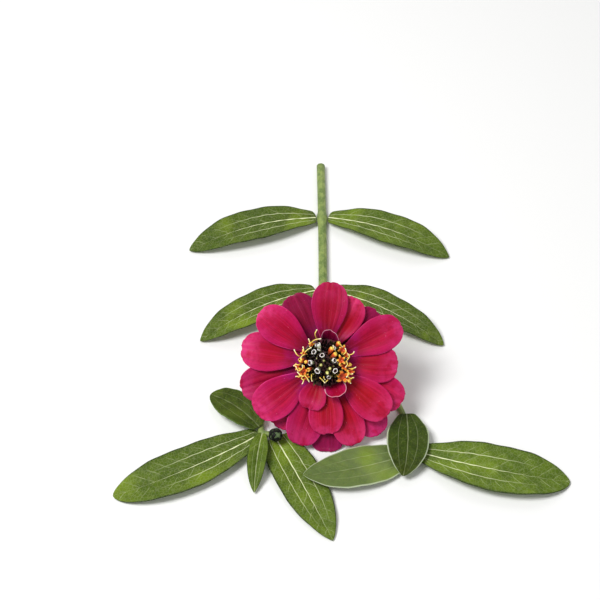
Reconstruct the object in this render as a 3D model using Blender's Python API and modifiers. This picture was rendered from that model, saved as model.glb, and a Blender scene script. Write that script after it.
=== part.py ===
"""A picked zinnia lying on a surface: one double bloom, its leafy stem and two side shoots.

Units are metres, +Z is up and the surface is z = 0. The stem lies along +Y, and the bloom
faces forward and up. The origin is on the stem's flat resting strip, where the bent neck of
the flower comes down to the surface.
"""

import math

import bmesh
import bpy
import numpy as np
from mathutils import Matrix, Vector

MM = 0.001

# Driving dimensions of the bloom
FACE_ELEVATION = math.radians(50)
BLOOM_CENTRE = Vector((0, -37 * MM, 20.5 * MM))
PETAL_THICKNESS = 0.6 * MM
PETAL_ROOT = 5.0 * MM
LAYER_STEP = 0.95 * MM
CORE_RADIUS = 8.6 * MM
CORE_BOTTOM = -0.6 * MM
CORE_TOP = 3.4 * MM
DISC_RADIUS = 6.3 * MM
DISC_RISE = 4.0 * MM
RING_INNER = 6.8 * MM
RING_OUTER = 8.1 * MM
INVOLUCRE_RADIUS = 8.5 * MM
INVOLUCRE_DEPTH = 10.0 * MM
BRACTS_IN_ROW = 9
BRACT_RELIEF = 0.5 * MM
CLEARANCE = 0.3 * MM

PETAL_CLAW = 2.6 * MM
PETAL_FLOOR = 0.48 * MM
# Shares of a petal's length and half width: where it is widest, and where its sides meet its tip
PETAL_WIDEST = 0.66
PETAL_CORNER = 0.7
TIP_ROUNDNESS = 2.3
TIP_NOTCH = 0.5 * MM
PETAL_CUP = 0.5 * MM

# Each broad petal: direction round the bloom, reach from its centre, width, layer from the back
PETALS = (
    (85, 28.3, 12.9, 2.2),
    (64, 25.1, 11.8, 1.3),
    (42, 26.0, 12.5, 0.2),
    (27.5, 29.7, 12.8, 2.0),
    (-2, 25.8, 13.2, 1.5),
    (-25.5, 31.0, 13.0, 0.9),
    (-51.5, 32.2, 13.0, 0.1),
    (-69.5, 31.0, 12.0, 1.2),
    (-88.5, 25.3, 12.2, 2.5),
    (-86.5, 32.0, 12.5, 0.0),
    (253, 30.4, 12.6, 1.3),
    (232, 28.6, 12.5, 0.2),
    (216.5, 29.9, 14.0, 2.2),
    (198, 31.0, 13.2, 0.3),
    (170, 29.8, 13.8, 1.4),
    (142.5, 28.7, 13.0, 2.4),
    (116, 26.3, 12.8, 0.2),
    (251, 17.3, 9.6, 3.2),
    (-39.5, 28.9, 13.0, 2.2),
)
# The two small rolled petals beside the disc: direction, reach and width
ROLLED_PETALS = ((78.5, 11.6, 6.6), (-68.0, 13.0, 7.6))
ROLLED_ROOT = 7.4 * MM
ROLLED_HEIGHT = 5.4 * MM

# The disc's chaff scales and the ring of open florets round it
CHAFF_COUNT = 42
CHAFF_HEIGHT = 2.6 * MM
CHAFF_RING = 4.9 * MM
CHAFF_LEAN = 1.05
GOLDEN_ANGLE = math.radians(137.508)
RING_HEIGHT = 1.6 * MM
FLORET_SPACING = 22.5
FLORET_TURN = 6
FLORET_FOOT = 7.4 * MM
FLORET_HEAD = 8.5 * MM
STAR_RADIUS = 1.75 * MM
STAR_WAIST = 0.48

# Driving dimensions of the stem, which bends down from the bloom and lies along +Y
STEM_RADIUS = 1.7 * MM
STEM_AXIS_HEIGHT = 1.55 * MM
NECK_RADIUS = 2.5 * MM
STEM_END = 80 * MM
NODE_A = 10 * MM
NODE_B = 50 * MM
NODE_SWELLING = 0.5 * MM
SHOOT_RADIUS = 1.1 * MM
SHOOT_SPACING = 7 * MM

# Side shoots: the points that each runs through, from its node on the stem
LEFT_SHOOT = (
    (0, 10, 1.5),
    (-6, 0, 1.3),
    (-15, -20, 0.9),
    (-21, -40, 0.9),
    (-22.5, -53, 1.5),
    (-18.8, -55.6, 2.45),
)
RIGHT_SHOOT = (
    (0, 10, 1.5),
    (6, 0, 1.3),
    (17, -20, 0.9),
    (27, -42, 0.9),
    (31.5, -58, 1.2),
    (32.5, -61.5, 1.2),
)
BUD_CENTRE = Vector((-17.2, -57.3, 4.95)) * MM
BUD_RADIUS = 2.3 * MM
BUD_LENGTH = 5.6 * MM
BUD_AXIS = Vector((0.35, -0.55, 0.75)).normalized()

# Leaves
LEAF_THICKNESS = 0.8 * MM
LEAF_FLOOR = 0.5 * MM
FLOOR_SOFTNESS = 0.35 * MM
LEAF_WAVE = 0.35 * MM
# Each leaf: base, tip, greatest width, rise of its middle, sideways bow, slope of its sides,
# the share of its length where it is widest, how soon its sides close (less is blunter) and
# the share of its width that it has at its base
LEAVES = {
    "leaf_shoot_left": ((-23.4, -54.7, 1.2), (-72.9, -79.8, 0.5), 17.5, 1.6, -2.5, 0.12, 0.52, 0.6, 0.36),
    "leaf_shoot_front": ((-17.2, -56.2, 0.9), (2.4, -97.2, 0.5), 16.4, 0.6, -0.3, 0.08, 0.38, 0.8, 0.72),
    "leaf_shoot_young": ((-22.0, -56.0, 3.1), (-24.4, -78.6, 0.9), 7.0, 2.2, 0.4, 0.2, 0.38, 0.8, 0.36),
    "leaf_shoot_back": ((-23.6, -52.4, 3.3), (-41.0, -37.5, 2.0), 13.0, 1.4, 1.0, 0.12, 0.45, 0.7, 0.36),
    "leaf_right_under": ((30.9, -62.0, 0.9), (-7.6, -73.6, 4.3), 16.5, 0.0, -1.5, 0.04, 0.45, 0.8, 0.36),
    "leaf_right_outer": ((33.9, -62.4, 1.2), (84.9, -74.1, 0.5), 19.5, 1.8, 2.0, 0.14, 0.5, 0.62, 0.36),
    "leaf_right_upper": ((29.3, -47.6, 3.2), (27.0, -73.2, 3.3), 15.0, 0.4, -1.0, 0.08, 0.4, 0.75, 0.36),
    "leaf_middle_left": ((-3.1, 11.2, 2.2), (-46, -12, 0.8), 14.5, 3.0, 1.5, 0.16, 0.45, 0.75, 0.36),
    "leaf_middle_right": ((3.1, 11.2, 2.2), (45, -14, 0.8), 14.0, 3.0, -1.5, 0.16, 0.42, 0.7, 0.36),
    "leaf_lower_left": ((-2.6, 50, 1.8), (-52.3, 33.6, 0.6), 16.4, 2.6, 2.1, 0.13, 0.45, 0.7, 0.36),
    "leaf_lower_right": ((3.2, 50, 1.8), (50, 30, 0.6), 16.0, 2.6, -2.0, 0.14, 0.48, 0.75, 0.36),
}

BLOOM_TURN = Matrix.Rotation(math.pi / 2 - FACE_ELEVATION, 4, "X")
BLOOM_FRAME = Matrix.Translation(BLOOM_CENTRE) @ BLOOM_TURN


def clear_scene():
    for thing in list(bpy.data.objects):
        bpy.data.objects.remove(thing)


def new_collection(name):
    group = bpy.data.collections.new(name)
    bpy.context.scene.collection.children.link(group)
    return group


def material(name, colour, roughness, metallic=0.0):
    """A Principled material in one plain colour."""
    made = bpy.data.materials.new(name)
    made.use_nodes = True
    shader = made.node_tree.nodes["Principled BSDF"]
    shader.inputs["Base Color"].default_value = (*colour, 1.0)
    shader.inputs["Roughness"].default_value = roughness
    shader.inputs["Metallic"].default_value = metallic
    return made


def smoothstep(x):
    x = min(max(x, 0.0), 1.0)
    return x * x * (3 - 2 * x)


def above_floor(height, floor, softness=FLOOR_SOFTNESS):
    """A height that levels off gently at floor, as a soft petal bends where it meets the surface."""
    return floor + softness * float(np.logaddexp(0.0, (height - floor) / softness))


def add_object(name, mesh, group, finish=None):
    thing = bpy.data.objects.new(name, mesh)
    group.objects.link(thing)
    if finish:
        mesh.materials.append(finish)
    return thing


def upright_along(axis):
    """The turn that stands a shape's own Z along axis."""
    return axis.to_track_quat("Z", "Y").to_matrix().to_4x4()


def object_from(form, name, group, finish=None):
    """A mesh object from a bmesh, which is freed."""
    mesh = bpy.data.meshes.new(name)
    form.to_mesh(mesh)
    form.free()
    return add_object(name, mesh, group, finish)


def blade(name, group, cells_across, cells_along, shape, thickness, finish=None):
    """A thin sheet: shape gives the point for a side, -1 to 1, and a share of the length, 0 to 1."""
    form = bmesh.new()
    bmesh.ops.create_grid(form, x_segments=cells_across, y_segments=cells_along, size=1.0)
    for vertex in form.verts:
        vertex.co = shape(vertex.co.x, (vertex.co.y + 1) / 2)
    bmesh.ops.triangulate(form, faces=form.faces[:])
    sheet = object_from(form, name, group, finish)
    wall = sheet.modifiers.new("Thickness", "SOLIDIFY")
    wall.thickness = thickness
    wall.offset = 0.0
    return sheet


def apply_modifiers(thing):
    """The object's evaluated mesh becomes its own, and its modifiers go."""
    graph = bpy.context.evaluated_depsgraph_get()
    mesh = bpy.data.meshes.new_from_object(thing.evaluated_get(graph))
    thing.modifiers.clear()
    thing.data = mesh


def join_all(target, pieces):
    """One union of every object in the collection pieces onto target."""
    for piece in pieces.objects:
        apply_modifiers(piece)
    union = target.modifiers.new("Grown together", "BOOLEAN")
    union.operation = "UNION"
    union.operand_type = "COLLECTION"
    union.collection = pieces
    union.solver = "MANIFOLD"
    apply_modifiers(target)
    for piece in list(pieces.objects):
        bpy.data.objects.remove(piece)
    bpy.data.collections.remove(pieces)


def tip_line(side):
    """The share of its length that a petal reaches at this share of its tip's width."""
    drop = (1 - (abs(side) * PETAL_CORNER) ** TIP_ROUNDNESS) ** (1 / TIP_ROUNDNESS)
    return PETAL_WIDEST + (1 - PETAL_WIDEST) * drop


def half_width(width, along):
    """A petal's half width: it widens from its claw, then closes in a rounded tip."""
    if along < PETAL_WIDEST:
        opened = smoothstep(along / PETAL_WIDEST) ** 0.8
        return (PETAL_CLAW + (width - PETAL_CLAW) * opened) / 2
    past = (along - PETAL_WIDEST) / (1 - PETAL_WIDEST)
    return width / 2 * (1 - past**TIP_ROUNDNESS) ** (1 / TIP_ROUNDNESS)


def broad_petal(index, degrees, reach, width, layer, group):
    """A ray petal: narrow claw, broad limb, rounded tip with a slight notch, edges a little raised."""
    turn = math.radians(degrees)
    outward = Vector((math.cos(turn), math.sin(turn), 0))
    sideways = Vector((-math.sin(turn), math.cos(turn), 0))
    length = reach * MM - PETAL_ROOT
    lift = (1.2 + 0.5 * layer) * MM
    droop = (2.2 - 0.2 * layer) * MM
    twist = 0.05 * math.sin(2.4 * index)

    def shape(side, along):
        across = side * half_width(width * MM, along * tip_line(1))
        notch = TIP_NOTCH * math.exp(-((side / 0.25) ** 2))
        radius = PETAL_ROOT + along * (length * tip_line(side) - notch)
        clear = (radius - CORE_RADIUS) / (reach * MM - CORE_RADIUS)
        height = LAYER_STEP * layer + lift * smoothstep(clear) - droop * along**3
        height += (PETAL_CUP * side * side + twist * across) * smoothstep(along / 0.4)
        point = BLOOM_FRAME @ (outward * radius + sideways * across + Vector((0, 0, height)))
        point.z = above_floor(point.z, PETAL_FLOOR)
        return point

    return blade(f"petal_{index}", group, 6, 8, shape, PETAL_THICKNESS)


def rolled_petal(index, degrees, reach, width, group):
    """A small young petal that stands up beside the disc with its edges rolled towards it."""
    turn = math.radians(degrees)
    outward = Vector((math.cos(turn), math.sin(turn), 0))
    sideways = Vector((-math.sin(turn), math.cos(turn), 0))
    foot = 1.2 * MM
    roll = 1.6 * MM

    def shape(side, along):
        spread = foot + (width * MM / 2 - foot) * smoothstep(along / 0.7)
        radius = ROLLED_ROOT + (reach * MM - ROLLED_ROOT) * along**0.8 - roll * along * side * side
        height = CORE_TOP - 2 * PETAL_THICKNESS + (ROLLED_HEIGHT - side * side * MM) * along
        return BLOOM_FRAME @ (outward * radius + sideways * side * spread + Vector((0, 0, height)))

    return blade(f"rolled_{index}", group, 4, 4, shape, PETAL_THICKNESS)


def ray_petals(group, finish):
    """All the ray petals, grown from one low core, which is the receptacle that they share."""
    form = bmesh.new()
    depth = CORE_TOP - CORE_BOTTOM
    foot = CORE_RADIUS - 1.6 * MM
    bmesh.ops.create_cone(
        form, cap_ends=True, segments=24, radius1=foot, radius2=CORE_RADIUS, depth=depth
    )
    middle = Matrix.Translation((0, 0, (CORE_TOP + CORE_BOTTOM) / 2))
    bmesh.ops.transform(form, matrix=BLOOM_FRAME @ middle, verts=form.verts)
    core = object_from(form, "ray_petals", group, finish)
    blades = new_collection("petal blades")
    for index, (degrees, reach, width, layer) in enumerate(PETALS):
        broad_petal(index, degrees, reach, width, layer, blades)
    for index, (degrees, reach, width) in enumerate(ROLLED_PETALS):
        rolled_petal(index, degrees, reach, width, blades)
    join_all(core, blades)
    return core


def turned(name, group, sides, rings, profile, finish=None):
    """A closed round body: profile gives radius and height for an angle and a share of the way down."""
    form = bmesh.new()
    bmesh.ops.create_uvsphere(form, u_segments=sides, v_segments=rings, radius=1.0)
    for vertex in form.verts:
        share = math.acos(min(max(vertex.co.z, -1), 1)) / math.pi
        angle = math.atan2(vertex.co.y, vertex.co.x)
        radius, height = profile(angle, share)
        if share < 1e-4 or share > 1 - 1e-4:
            radius = 0.0
        vertex.co = (radius * math.cos(angle), radius * math.sin(angle), height)
    return object_from(form, name, group, finish)


def disc(group, finish):
    """The dark domed middle, covered with pointed chaff scales on a golden-angle spiral."""
    floor = CORE_TOP + CLEARANCE

    def dome(_, share):
        tilt = math.pi * share
        return DISC_RADIUS * math.sin(tilt) ** 0.8, floor + DISC_RISE * max(math.cos(tilt), 0.0)

    middle = turned("disc", group, 20, 8, dome, finish)
    scales = new_collection("chaff scales")
    for index in range(CHAFF_COUNT):
        share = math.sqrt((index + 0.5) / CHAFF_COUNT)
        lean = CHAFF_LEAN * share
        turn = GOLDEN_ANGLE * index
        outward = Vector((math.cos(turn), math.sin(turn), 0))
        normal = outward * math.sin(lean) + Vector((0, 0, math.cos(lean)))
        seat = outward * CHAFF_RING * share
        dome_share = math.sqrt(max(1 - (seat.length / DISC_RADIUS) ** 2.2, 0))
        seat.z = floor + DISC_RISE * dome_share - 0.7 * MM
        form = bmesh.new()
        bmesh.ops.create_cone(
            form, cap_ends=True, segments=5, radius1=0.72 * MM, radius2=0.3 * MM, depth=CHAFF_HEIGHT
        )
        place = Matrix.Translation(seat + normal * CHAFF_HEIGHT / 2) @ upright_along(normal)
        bmesh.ops.transform(form, matrix=place, verts=form.verts)
        object_from(form, f"scale_{index}", scales)
    join_all(middle, scales)
    middle.data.transform(BLOOM_FRAME)
    return middle


def floret_ring(group, finish):
    """The band that the packed tubes of the open florets form round the disc."""
    floor = CORE_TOP + 0.5 * MM
    top = floor + RING_HEIGHT
    form = bmesh.new()
    loop = [(RING_INNER, floor), (RING_OUTER, floor), (RING_OUTER, top), (RING_INNER, top)]
    corners = [form.verts.new((radius, 0, height)) for radius, height in loop]
    edges = [form.edges.new((corners[i], corners[(i + 1) % 4])) for i in range(4)]
    bmesh.ops.spin(
        form,
        geom=corners + edges,
        cent=(0, 0, 0),
        axis=(0, 0, 1),
        angle=2 * math.pi,
        steps=24,
        use_merge=True,
    )
    bmesh.ops.remove_doubles(form, verts=form.verts[:], dist=1e-6)
    bmesh.ops.recalc_face_normals(form, faces=form.faces[:])
    return object_from(form, "disc_florets", group, finish), top


def floret(index, degrees, band_top, group):
    """One open floret: a slim tube that leans outward, topped by a star of five lobes."""
    turn = math.radians(degrees)
    outward = Vector((math.cos(turn), math.sin(turn), 0))
    foot = outward * FLORET_FOOT + Vector((0, 0, band_top - 0.7 * MM))
    rise = (2.6 + 0.5 * math.sin(5 * index)) * MM
    head = outward * FLORET_HEAD + Vector((0, 0, band_top + rise))
    tilt = upright_along((head - foot).normalized())
    length = (head - foot).length
    slim = bmesh.new()
    bmesh.ops.create_cone(
        slim, cap_ends=True, segments=5, radius1=0.5 * MM, radius2=0.8 * MM, depth=length
    )
    bmesh.ops.transform(slim, matrix=Matrix.Translation((foot + head) / 2) @ tilt, verts=slim.verts)
    object_from(slim, f"floret_tube_{index}", group)
    star = bmesh.new()
    bmesh.ops.create_cone(
        star, cap_ends=True, segments=10, radius1=0.92 * STAR_RADIUS, radius2=STAR_RADIUS, depth=0.6 * MM
    )
    for vertex in star.verts:
        from_y = math.degrees(math.atan2(vertex.co.x, vertex.co.y))
        lobe = round(from_y / 36) % 2
        reach = 1.0 if lobe else STAR_WAIST
        vertex.co = (vertex.co.x * reach, vertex.co.y * reach, vertex.co.z + 0.3 * MM * lobe)
    bmesh.ops.transform(star, matrix=Matrix.Translation(head) @ tilt, verts=star.verts)
    object_from(star, f"floret_star_{index}", group)


def disc_florets(group, finish):
    """The ring of open florets, which leaves room for the two rolled petals."""
    band, band_top = floret_ring(group, finish)
    stars = new_collection("stars")
    for index in range(round(360 / FLORET_SPACING)):
        degrees = index * FLORET_SPACING + FLORET_TURN
        beside = [abs((degrees - other + 180) % 360 - 180) for other, *_ in ROLLED_PETALS]
        if min(beside) > FLORET_SPACING:
            floret(index, degrees, band_top, stars)
    join_all(band, stars)
    band.data.transform(BLOOM_FRAME)
    return band


def involucre(group, finish):
    """The green cup behind the petals, with rows of overlapping rounded bracts as relief."""
    top = CORE_BOTTOM - CLEARANCE
    # The cup's outline from its flat top to its foot: shares of its radius and of its depth
    widths = (0, 0.6, 0.95, 1, 1.01, 1, 0.98, 0.95, 0.9, 0.83, 0.74, 0.64, 0.53, 0.42, 0.34, 0.2, 0)
    depths = (0, 0, 0, 0.06, 0.14, 0.23, 0.32, 0.41, 0.5, 0.59, 0.68, 0.77, 0.86, 0.94, 1, 1, 1)
    rings = len(widths) - 1
    first_tips, last_foot = 3, 13

    def cup(angle, share):
        place = round(share * rings)
        radius = INVOLUCRE_RADIUS * widths[place]
        if first_tips <= place < last_foot:
            row, below_tip = divmod(place - first_tips, 3)
            proud = 0.6 + 0.4 * math.cos(BRACTS_IN_ROW * angle + math.pi * row)
            radius += BRACT_RELIEF * (1 - below_tip / 3) * proud
        return radius, top - INVOLUCRE_DEPTH * depths[place]

    body = turned("involucre", group, 4 * BRACTS_IN_ROW, rings, cup, finish)
    body.data.transform(BLOOM_FRAME)
    return body


def tube(name, points, radii, resolution, group):
    """A round stem through points, with filled ends and one flat side down, as a closed mesh."""
    sides = 4 + 2 * resolution
    data = bpy.data.curves.new(name, "CURVE")
    data.dimensions = "3D"
    data.bevel_depth = 1.0
    data.bevel_resolution = resolution
    data.use_fill_caps = True
    line = data.splines.new("POLY")
    line.points.add(len(points) - 1)
    for spot, point, radius in zip(line.points, points, radii):
        spot.co = (*point, 1.0)
        spot.radius = radius
        spot.tilt = math.pi / sides
    guide = bpy.data.objects.new(name + "_line", data)
    group.objects.link(guide)
    graph = bpy.context.evaluated_depsgraph_get()
    mesh = bpy.data.meshes.new_from_object(guide.evaluated_get(graph))
    bpy.data.objects.remove(guide)
    form = bmesh.new()
    form.from_mesh(mesh)
    bmesh.ops.remove_doubles(form, verts=form.verts[:], dist=1e-6)
    bmesh.ops.recalc_face_normals(form, faces=form.faces[:])
    return object_from(form, name, group)


def smooth_path(points, spacing):
    """Points about spacing apart on a curve through the given points. Each stretch is the cubic
    whose slope at a point is half the step between that point's neighbours."""
    known = [Vector(point) for point in points]
    ends = [known[0] * 2 - known[1], *known, known[-1] * 2 - known[-2]]
    path = []
    for a, b, c, d in zip(ends, ends[1:], ends[2:], ends[3:]):
        steps = max(1, round((c - b).length / spacing))
        bend = 2 * a - 5 * b + 4 * c - d
        ease = 3 * b - a - 3 * c + d
        for step in range(steps):
            t = step / steps
            path.append((2 * b + (c - a) * t + bend * t**2 + ease * t**3) / 2)
    return [*path, known[-1]]


def main_stem_path():
    """From under the involucre, an arc comes down to the surface and the stem then lies along +Y."""
    normal = BLOOM_TURN @ Vector((0, 0, 1))
    start = BLOOM_CENTRE + normal * (CORE_BOTTOM - 2 * CLEARANCE - INVOLUCRE_DEPTH)
    drop = start.z - STEM_AXIS_HEIGHT
    bend = drop / (1 - math.cos(FACE_ELEVATION))
    steps = 9
    arc = []
    for step in range(steps + 1):
        left = FACE_ELEVATION * (1 - step / steps)
        along = bend * (math.sin(FACE_ELEVATION) - math.sin(left))
        arc.append(Vector((0, start.y + along, STEM_AXIS_HEIGHT + bend * (1 - math.cos(left)))))
    lying = [Vector((0, y * MM, STEM_AXIS_HEIGHT)) for y in (-2, 4)]
    lying += [Vector((0, NODE_A + offset * MM, STEM_AXIS_HEIGHT)) for offset in (-3, 0, 3)]
    lying += [Vector((0.2 * MM, y * MM, STEM_AXIS_HEIGHT)) for y in (22, 34)]
    lying += [Vector((0.3 * MM, NODE_B + offset * MM, STEM_AXIS_HEIGHT)) for offset in (-3, 0, 3)]
    lying += [Vector((0, y * MM, STEM_AXIS_HEIGHT)) for y in (62, 71)]
    return [*arc, *lying, Vector((0, STEM_END, STEM_AXIS_HEIGHT))]


def stem(group, finish):
    """The main stem with its two side shoots, as one branching body with a flat strip underneath."""
    path = main_stem_path()
    radii = []
    for point in path:
        neck = smoothstep((-8 * MM - point.y) / (22 * MM))
        swell = sum(math.exp(-(((point.y - node) / (2.4 * MM)) ** 2)) for node in (NODE_A, NODE_B))
        radii.append(STEM_RADIUS + (NECK_RADIUS - STEM_RADIUS) * neck + NODE_SWELLING * swell)
    body = tube("stem", path, radii, 2, group)
    body.data.materials.append(finish)
    shoots = new_collection("shoots")
    for name, points in (("left", LEFT_SHOOT), ("right", RIGHT_SHOOT)):
        line = smooth_path([Vector(point) * MM for point in points], SHOOT_SPACING)
        widths = [SHOOT_RADIUS] * len(line)
        widths[-2] = widths[-3] = 1.25 * SHOOT_RADIUS
        tube(f"shoot_{name}", line, widths, 1, shoots)
    join_all(body, shoots)
    form = bmesh.new()
    form.from_mesh(body.data)
    for vertex in form.verts:
        vertex.co.z = max(vertex.co.z, 0.0)
    bmesh.ops.triangulate(form, faces=form.faces[:])
    form.to_mesh(body.data)
    form.free()
    return body


def bud(group, finish):
    """The closed green bud at the tip of the left shoot, its bracts as relief."""

    def egg(angle, share):
        tilt = math.pi * share
        radius = BUD_RADIUS * math.sin(tilt) ** 0.75 * (1 + 0.08 * math.cos(6 * angle + 9 * share))
        return radius, BUD_LENGTH / 2 * math.cos(tilt)

    body = turned("bud", group, 14, 8, egg, finish)
    body.data.transform(Matrix.Translation(BUD_CENTRE) @ upright_along(BUD_AXIS))
    return body


def leaf(name, row, group, finish):
    """A stalkless pointed leaf: an arched rib, two sides folded up from it and waved edges."""
    base, tip, width, rise, bow, fold, widest, closing, base_share = row
    start = Vector(base) * MM
    end = Vector(tip) * MM
    run = end - start
    flat_side = Vector((run.y, -run.x, 0)).normalized()
    middle = (start + end) / 2 + Vector((0, 0, 2 * rise * MM)) + flat_side * 2 * bow * MM
    half = width * MM / 2
    phase = sum(base)

    def shape(side, step):
        along = 0.65 * step + 0.35 * math.sin(math.pi / 2 * step)
        rib = start * (1 - along) ** 2 + middle * 2 * along * (1 - along) + end * along**2
        forward = ((middle - start) * (1 - along) + (end - middle) * along).normalized()
        across = forward.cross(Vector((0, 0, 1))).normalized()
        up = across.cross(forward)
        if along < widest:
            opened = math.sin(math.pi / 2 * along / widest)
            spread = half * (base_share + (1 - base_share) * opened)
        else:
            spread = half * max(1 - ((along - widest) / (1 - widest)) ** 2.3, 0.0) ** closing
        spread = max(spread, 0.25 * MM)
        raised = fold * abs(side) * spread
        wave = LEAF_WAVE * side * side * math.sin(13 * along + phase) * smoothstep(along / 0.3)
        point = rib + across * side * spread + up * (raised + wave)
        point.z = above_floor(point.z, LEAF_FLOOR)
        return point

    return blade(name, group, 4, 11, shape, LEAF_THICKNESS, finish)


def build():
    clear_scene()
    group = new_collection("Zinnia flower")
    petal_finish = material("petal_magenta", (0.52, 0.012, 0.10), 0.55)
    disc_finish = material("disc_dark", (0.03, 0.015, 0.02), 0.6)
    floret_finish = material("floret_orange", (0.85, 0.35, 0.04), 0.5)
    bract_finish = material("bract_green", (0.08, 0.14, 0.03), 0.55)
    stem_finish = material("stem_green", (0.13, 0.22, 0.04), 0.6)
    leaf_finish = material("leaf_green", (0.10, 0.19, 0.04), 0.6)
    bud_finish = material("bud_green", (0.05, 0.10, 0.03), 0.5)
    ray_petals(group, petal_finish)
    disc(group, disc_finish)
    disc_florets(group, floret_finish)
    involucre(group, bract_finish)
    stem(group, stem_finish)
    bud(group, bud_finish)
    for name, row in LEAVES.items():
        leaf(name, row, group, leaf_finish)
    for thing in group.objects:
        thing.data.shade_smooth()
        thing.data.set_sharp_from_angle(angle=math.radians(35))


build()
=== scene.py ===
# %% [markdown]
# # Dressing a picked zinnia
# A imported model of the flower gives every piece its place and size. Here each of those plain
# solids is replaced by a thin, veined, coloured surface: petals, florets, bracts, leaves and stem.
# The whole notebook works in metres, with +Z up and the flower lying on z = 0.
# A piece is a function of two parameters on a grid, worked out for all its points at once, so the
# first cells make a small set of helpers and the later ones only describe forms and finishes.

import math

import bpy
import numpy as np
from mathutils import Matrix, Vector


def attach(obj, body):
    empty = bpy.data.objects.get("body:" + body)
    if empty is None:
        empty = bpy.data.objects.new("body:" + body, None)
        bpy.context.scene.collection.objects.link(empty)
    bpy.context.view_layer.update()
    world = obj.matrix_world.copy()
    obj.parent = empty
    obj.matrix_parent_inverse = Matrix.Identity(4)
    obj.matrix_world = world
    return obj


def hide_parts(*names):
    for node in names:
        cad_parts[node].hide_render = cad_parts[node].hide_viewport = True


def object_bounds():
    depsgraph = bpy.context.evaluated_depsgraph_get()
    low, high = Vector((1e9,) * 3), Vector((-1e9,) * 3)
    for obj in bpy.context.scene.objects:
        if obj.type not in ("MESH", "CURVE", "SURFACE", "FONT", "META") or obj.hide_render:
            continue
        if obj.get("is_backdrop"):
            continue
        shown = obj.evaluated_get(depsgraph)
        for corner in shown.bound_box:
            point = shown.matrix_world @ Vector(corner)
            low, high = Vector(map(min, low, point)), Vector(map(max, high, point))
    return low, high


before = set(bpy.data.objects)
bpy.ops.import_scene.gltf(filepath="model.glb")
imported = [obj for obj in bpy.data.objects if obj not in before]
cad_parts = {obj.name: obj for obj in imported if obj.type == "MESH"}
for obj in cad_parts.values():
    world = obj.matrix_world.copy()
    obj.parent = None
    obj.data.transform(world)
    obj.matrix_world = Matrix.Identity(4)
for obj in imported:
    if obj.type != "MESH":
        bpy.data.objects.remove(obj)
cad_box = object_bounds()
print("packed pieces:", ", ".join(sorted(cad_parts)))

# %% [markdown]
# ## Meshes from grids
# Nearly every form below is a grid of points, and one helper turns any of them into a mesh. Corner
# numbers of the quads come from index arithmetic on the grid. Each vertex also carries three
# values that the materials read: "place", which says where on its petal or leaf a point lies,
# "tint", one number for each petal, leaf or scale, so that no two have quite the same colour, and
# "under", which is 1 on the underside of a thin sheet and 0 elsewhere.

# %% Curves and vectors
MM = 0.001
RIGHT = np.array([1.0, 0.0, 0.0])
UP = np.array([0.0, 0.0, 1.0])


def smoothstep(x):
    """0 below 0, 1 above 1 and 3x squared less 2x cubed between, a ramp with soft ends."""
    x = np.clip(x, 0.0, 1.0)
    return x * x * (3 - 2 * x)


def hump(x, middle, width):
    """A bell: e to the power of minus ((x - middle) / width) squared."""
    return np.exp(-(((x - middle) / width) ** 2))


def unit(vectors):
    """Each vector divided by its own length."""
    return vectors / np.maximum(np.linalg.norm(vectors, axis=-1, keepdims=True), 1e-12)


def xyz(x, y, z):
    """Three numbers or arrays as one array of vectors."""
    return np.stack(np.broadcast_arrays(x, y, z), axis=-1)


print("a soft ramp at 0.25, 0.5 and 0.75:", smoothstep(np.array([0.25, 0.5, 0.75])))


# %% Forms as plain arrays
def quads_of(numbers):
    """The corner numbers of every cell of a grid of vertex numbers."""
    corners = (numbers[:-1, :-1], numbers[:-1, 1:], numbers[1:, 1:], numbers[1:, :-1])
    return np.stack(corners, axis=-1).reshape(-1, 4)


def part(points, quads=(), tris=(), place=0.0, tint=0.5):
    """One closed form: its points, its faces and the values that its material reads."""
    points = points.reshape(-1, 3)
    return {
        "points": points,
        "place": np.zeros(points.shape) + place,
        "tint": np.full(len(points), float(tint)),
        "under": np.zeros(len(points)),
        "quads": np.reshape(quads, (-1, 4)).astype(int),
        "tris": np.reshape(tris, (-1, 3)).astype(int),
    }


def together(parts):
    """Several forms as one: their arrays end to end, with the corner numbers moved along."""
    starts = np.cumsum([0] + [len(one["points"]) for one in parts[:-1]])
    whole = {}
    for key in parts[0]:
        shifts = starts if key in ("quads", "tris") else 0 * starts
        whole[key] = np.concatenate([one[key] + shift for one, shift in zip(parts, shifts)])
    return whole


def moved(form, turn, shift=0.0):
    """The form with its points turned by a 3 by 3 matrix, then shifted."""
    return {**form, "points": form["points"] @ np.asarray(turn).T + np.asarray(shift)}


print("faces of a grid of two cells:", quads_of(np.arange(6).reshape(2, 3)).tolist())


# %% Objects
def put_in_scene(name, data, axes=np.eye(3), place=(0, 0, 0)):
    """An object that holds the data, with its own axes and place."""
    thing = bpy.data.objects.new(name, data)
    bpy.context.scene.collection.objects.link(thing)
    matrix = np.eye(4)
    matrix[:3, :3] = axes
    matrix[:3, 3] = place
    thing.matrix_world = Matrix(matrix)
    return thing


def make(name, form, finish, stands_for=()):
    """A mesh object from one form, which rides on the flower and stands for its plain solids."""
    mesh = bpy.data.meshes.new(name)
    mesh.from_pydata(form["points"].tolist(), [], form["quads"].tolist() + form["tris"].tolist())
    place = mesh.attributes.new("place", "FLOAT_VECTOR", "POINT")
    place.data.foreach_set("vector", form["place"].astype(np.float32).ravel())
    for key in ("tint", "under"):
        values = mesh.attributes.new(key, "FLOAT", "POINT")
        values.data.foreach_set("value", form[key].astype(np.float32))
    mesh.shade_smooth()
    mesh.materials.append(finish)
    piece = put_in_scene(name, mesh)
    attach(piece, "root")
    if stands_for:
        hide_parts(*stands_for)
    print(f"{name}: {2 * len(form['quads']) + len(form['tris'])} triangles")


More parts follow.
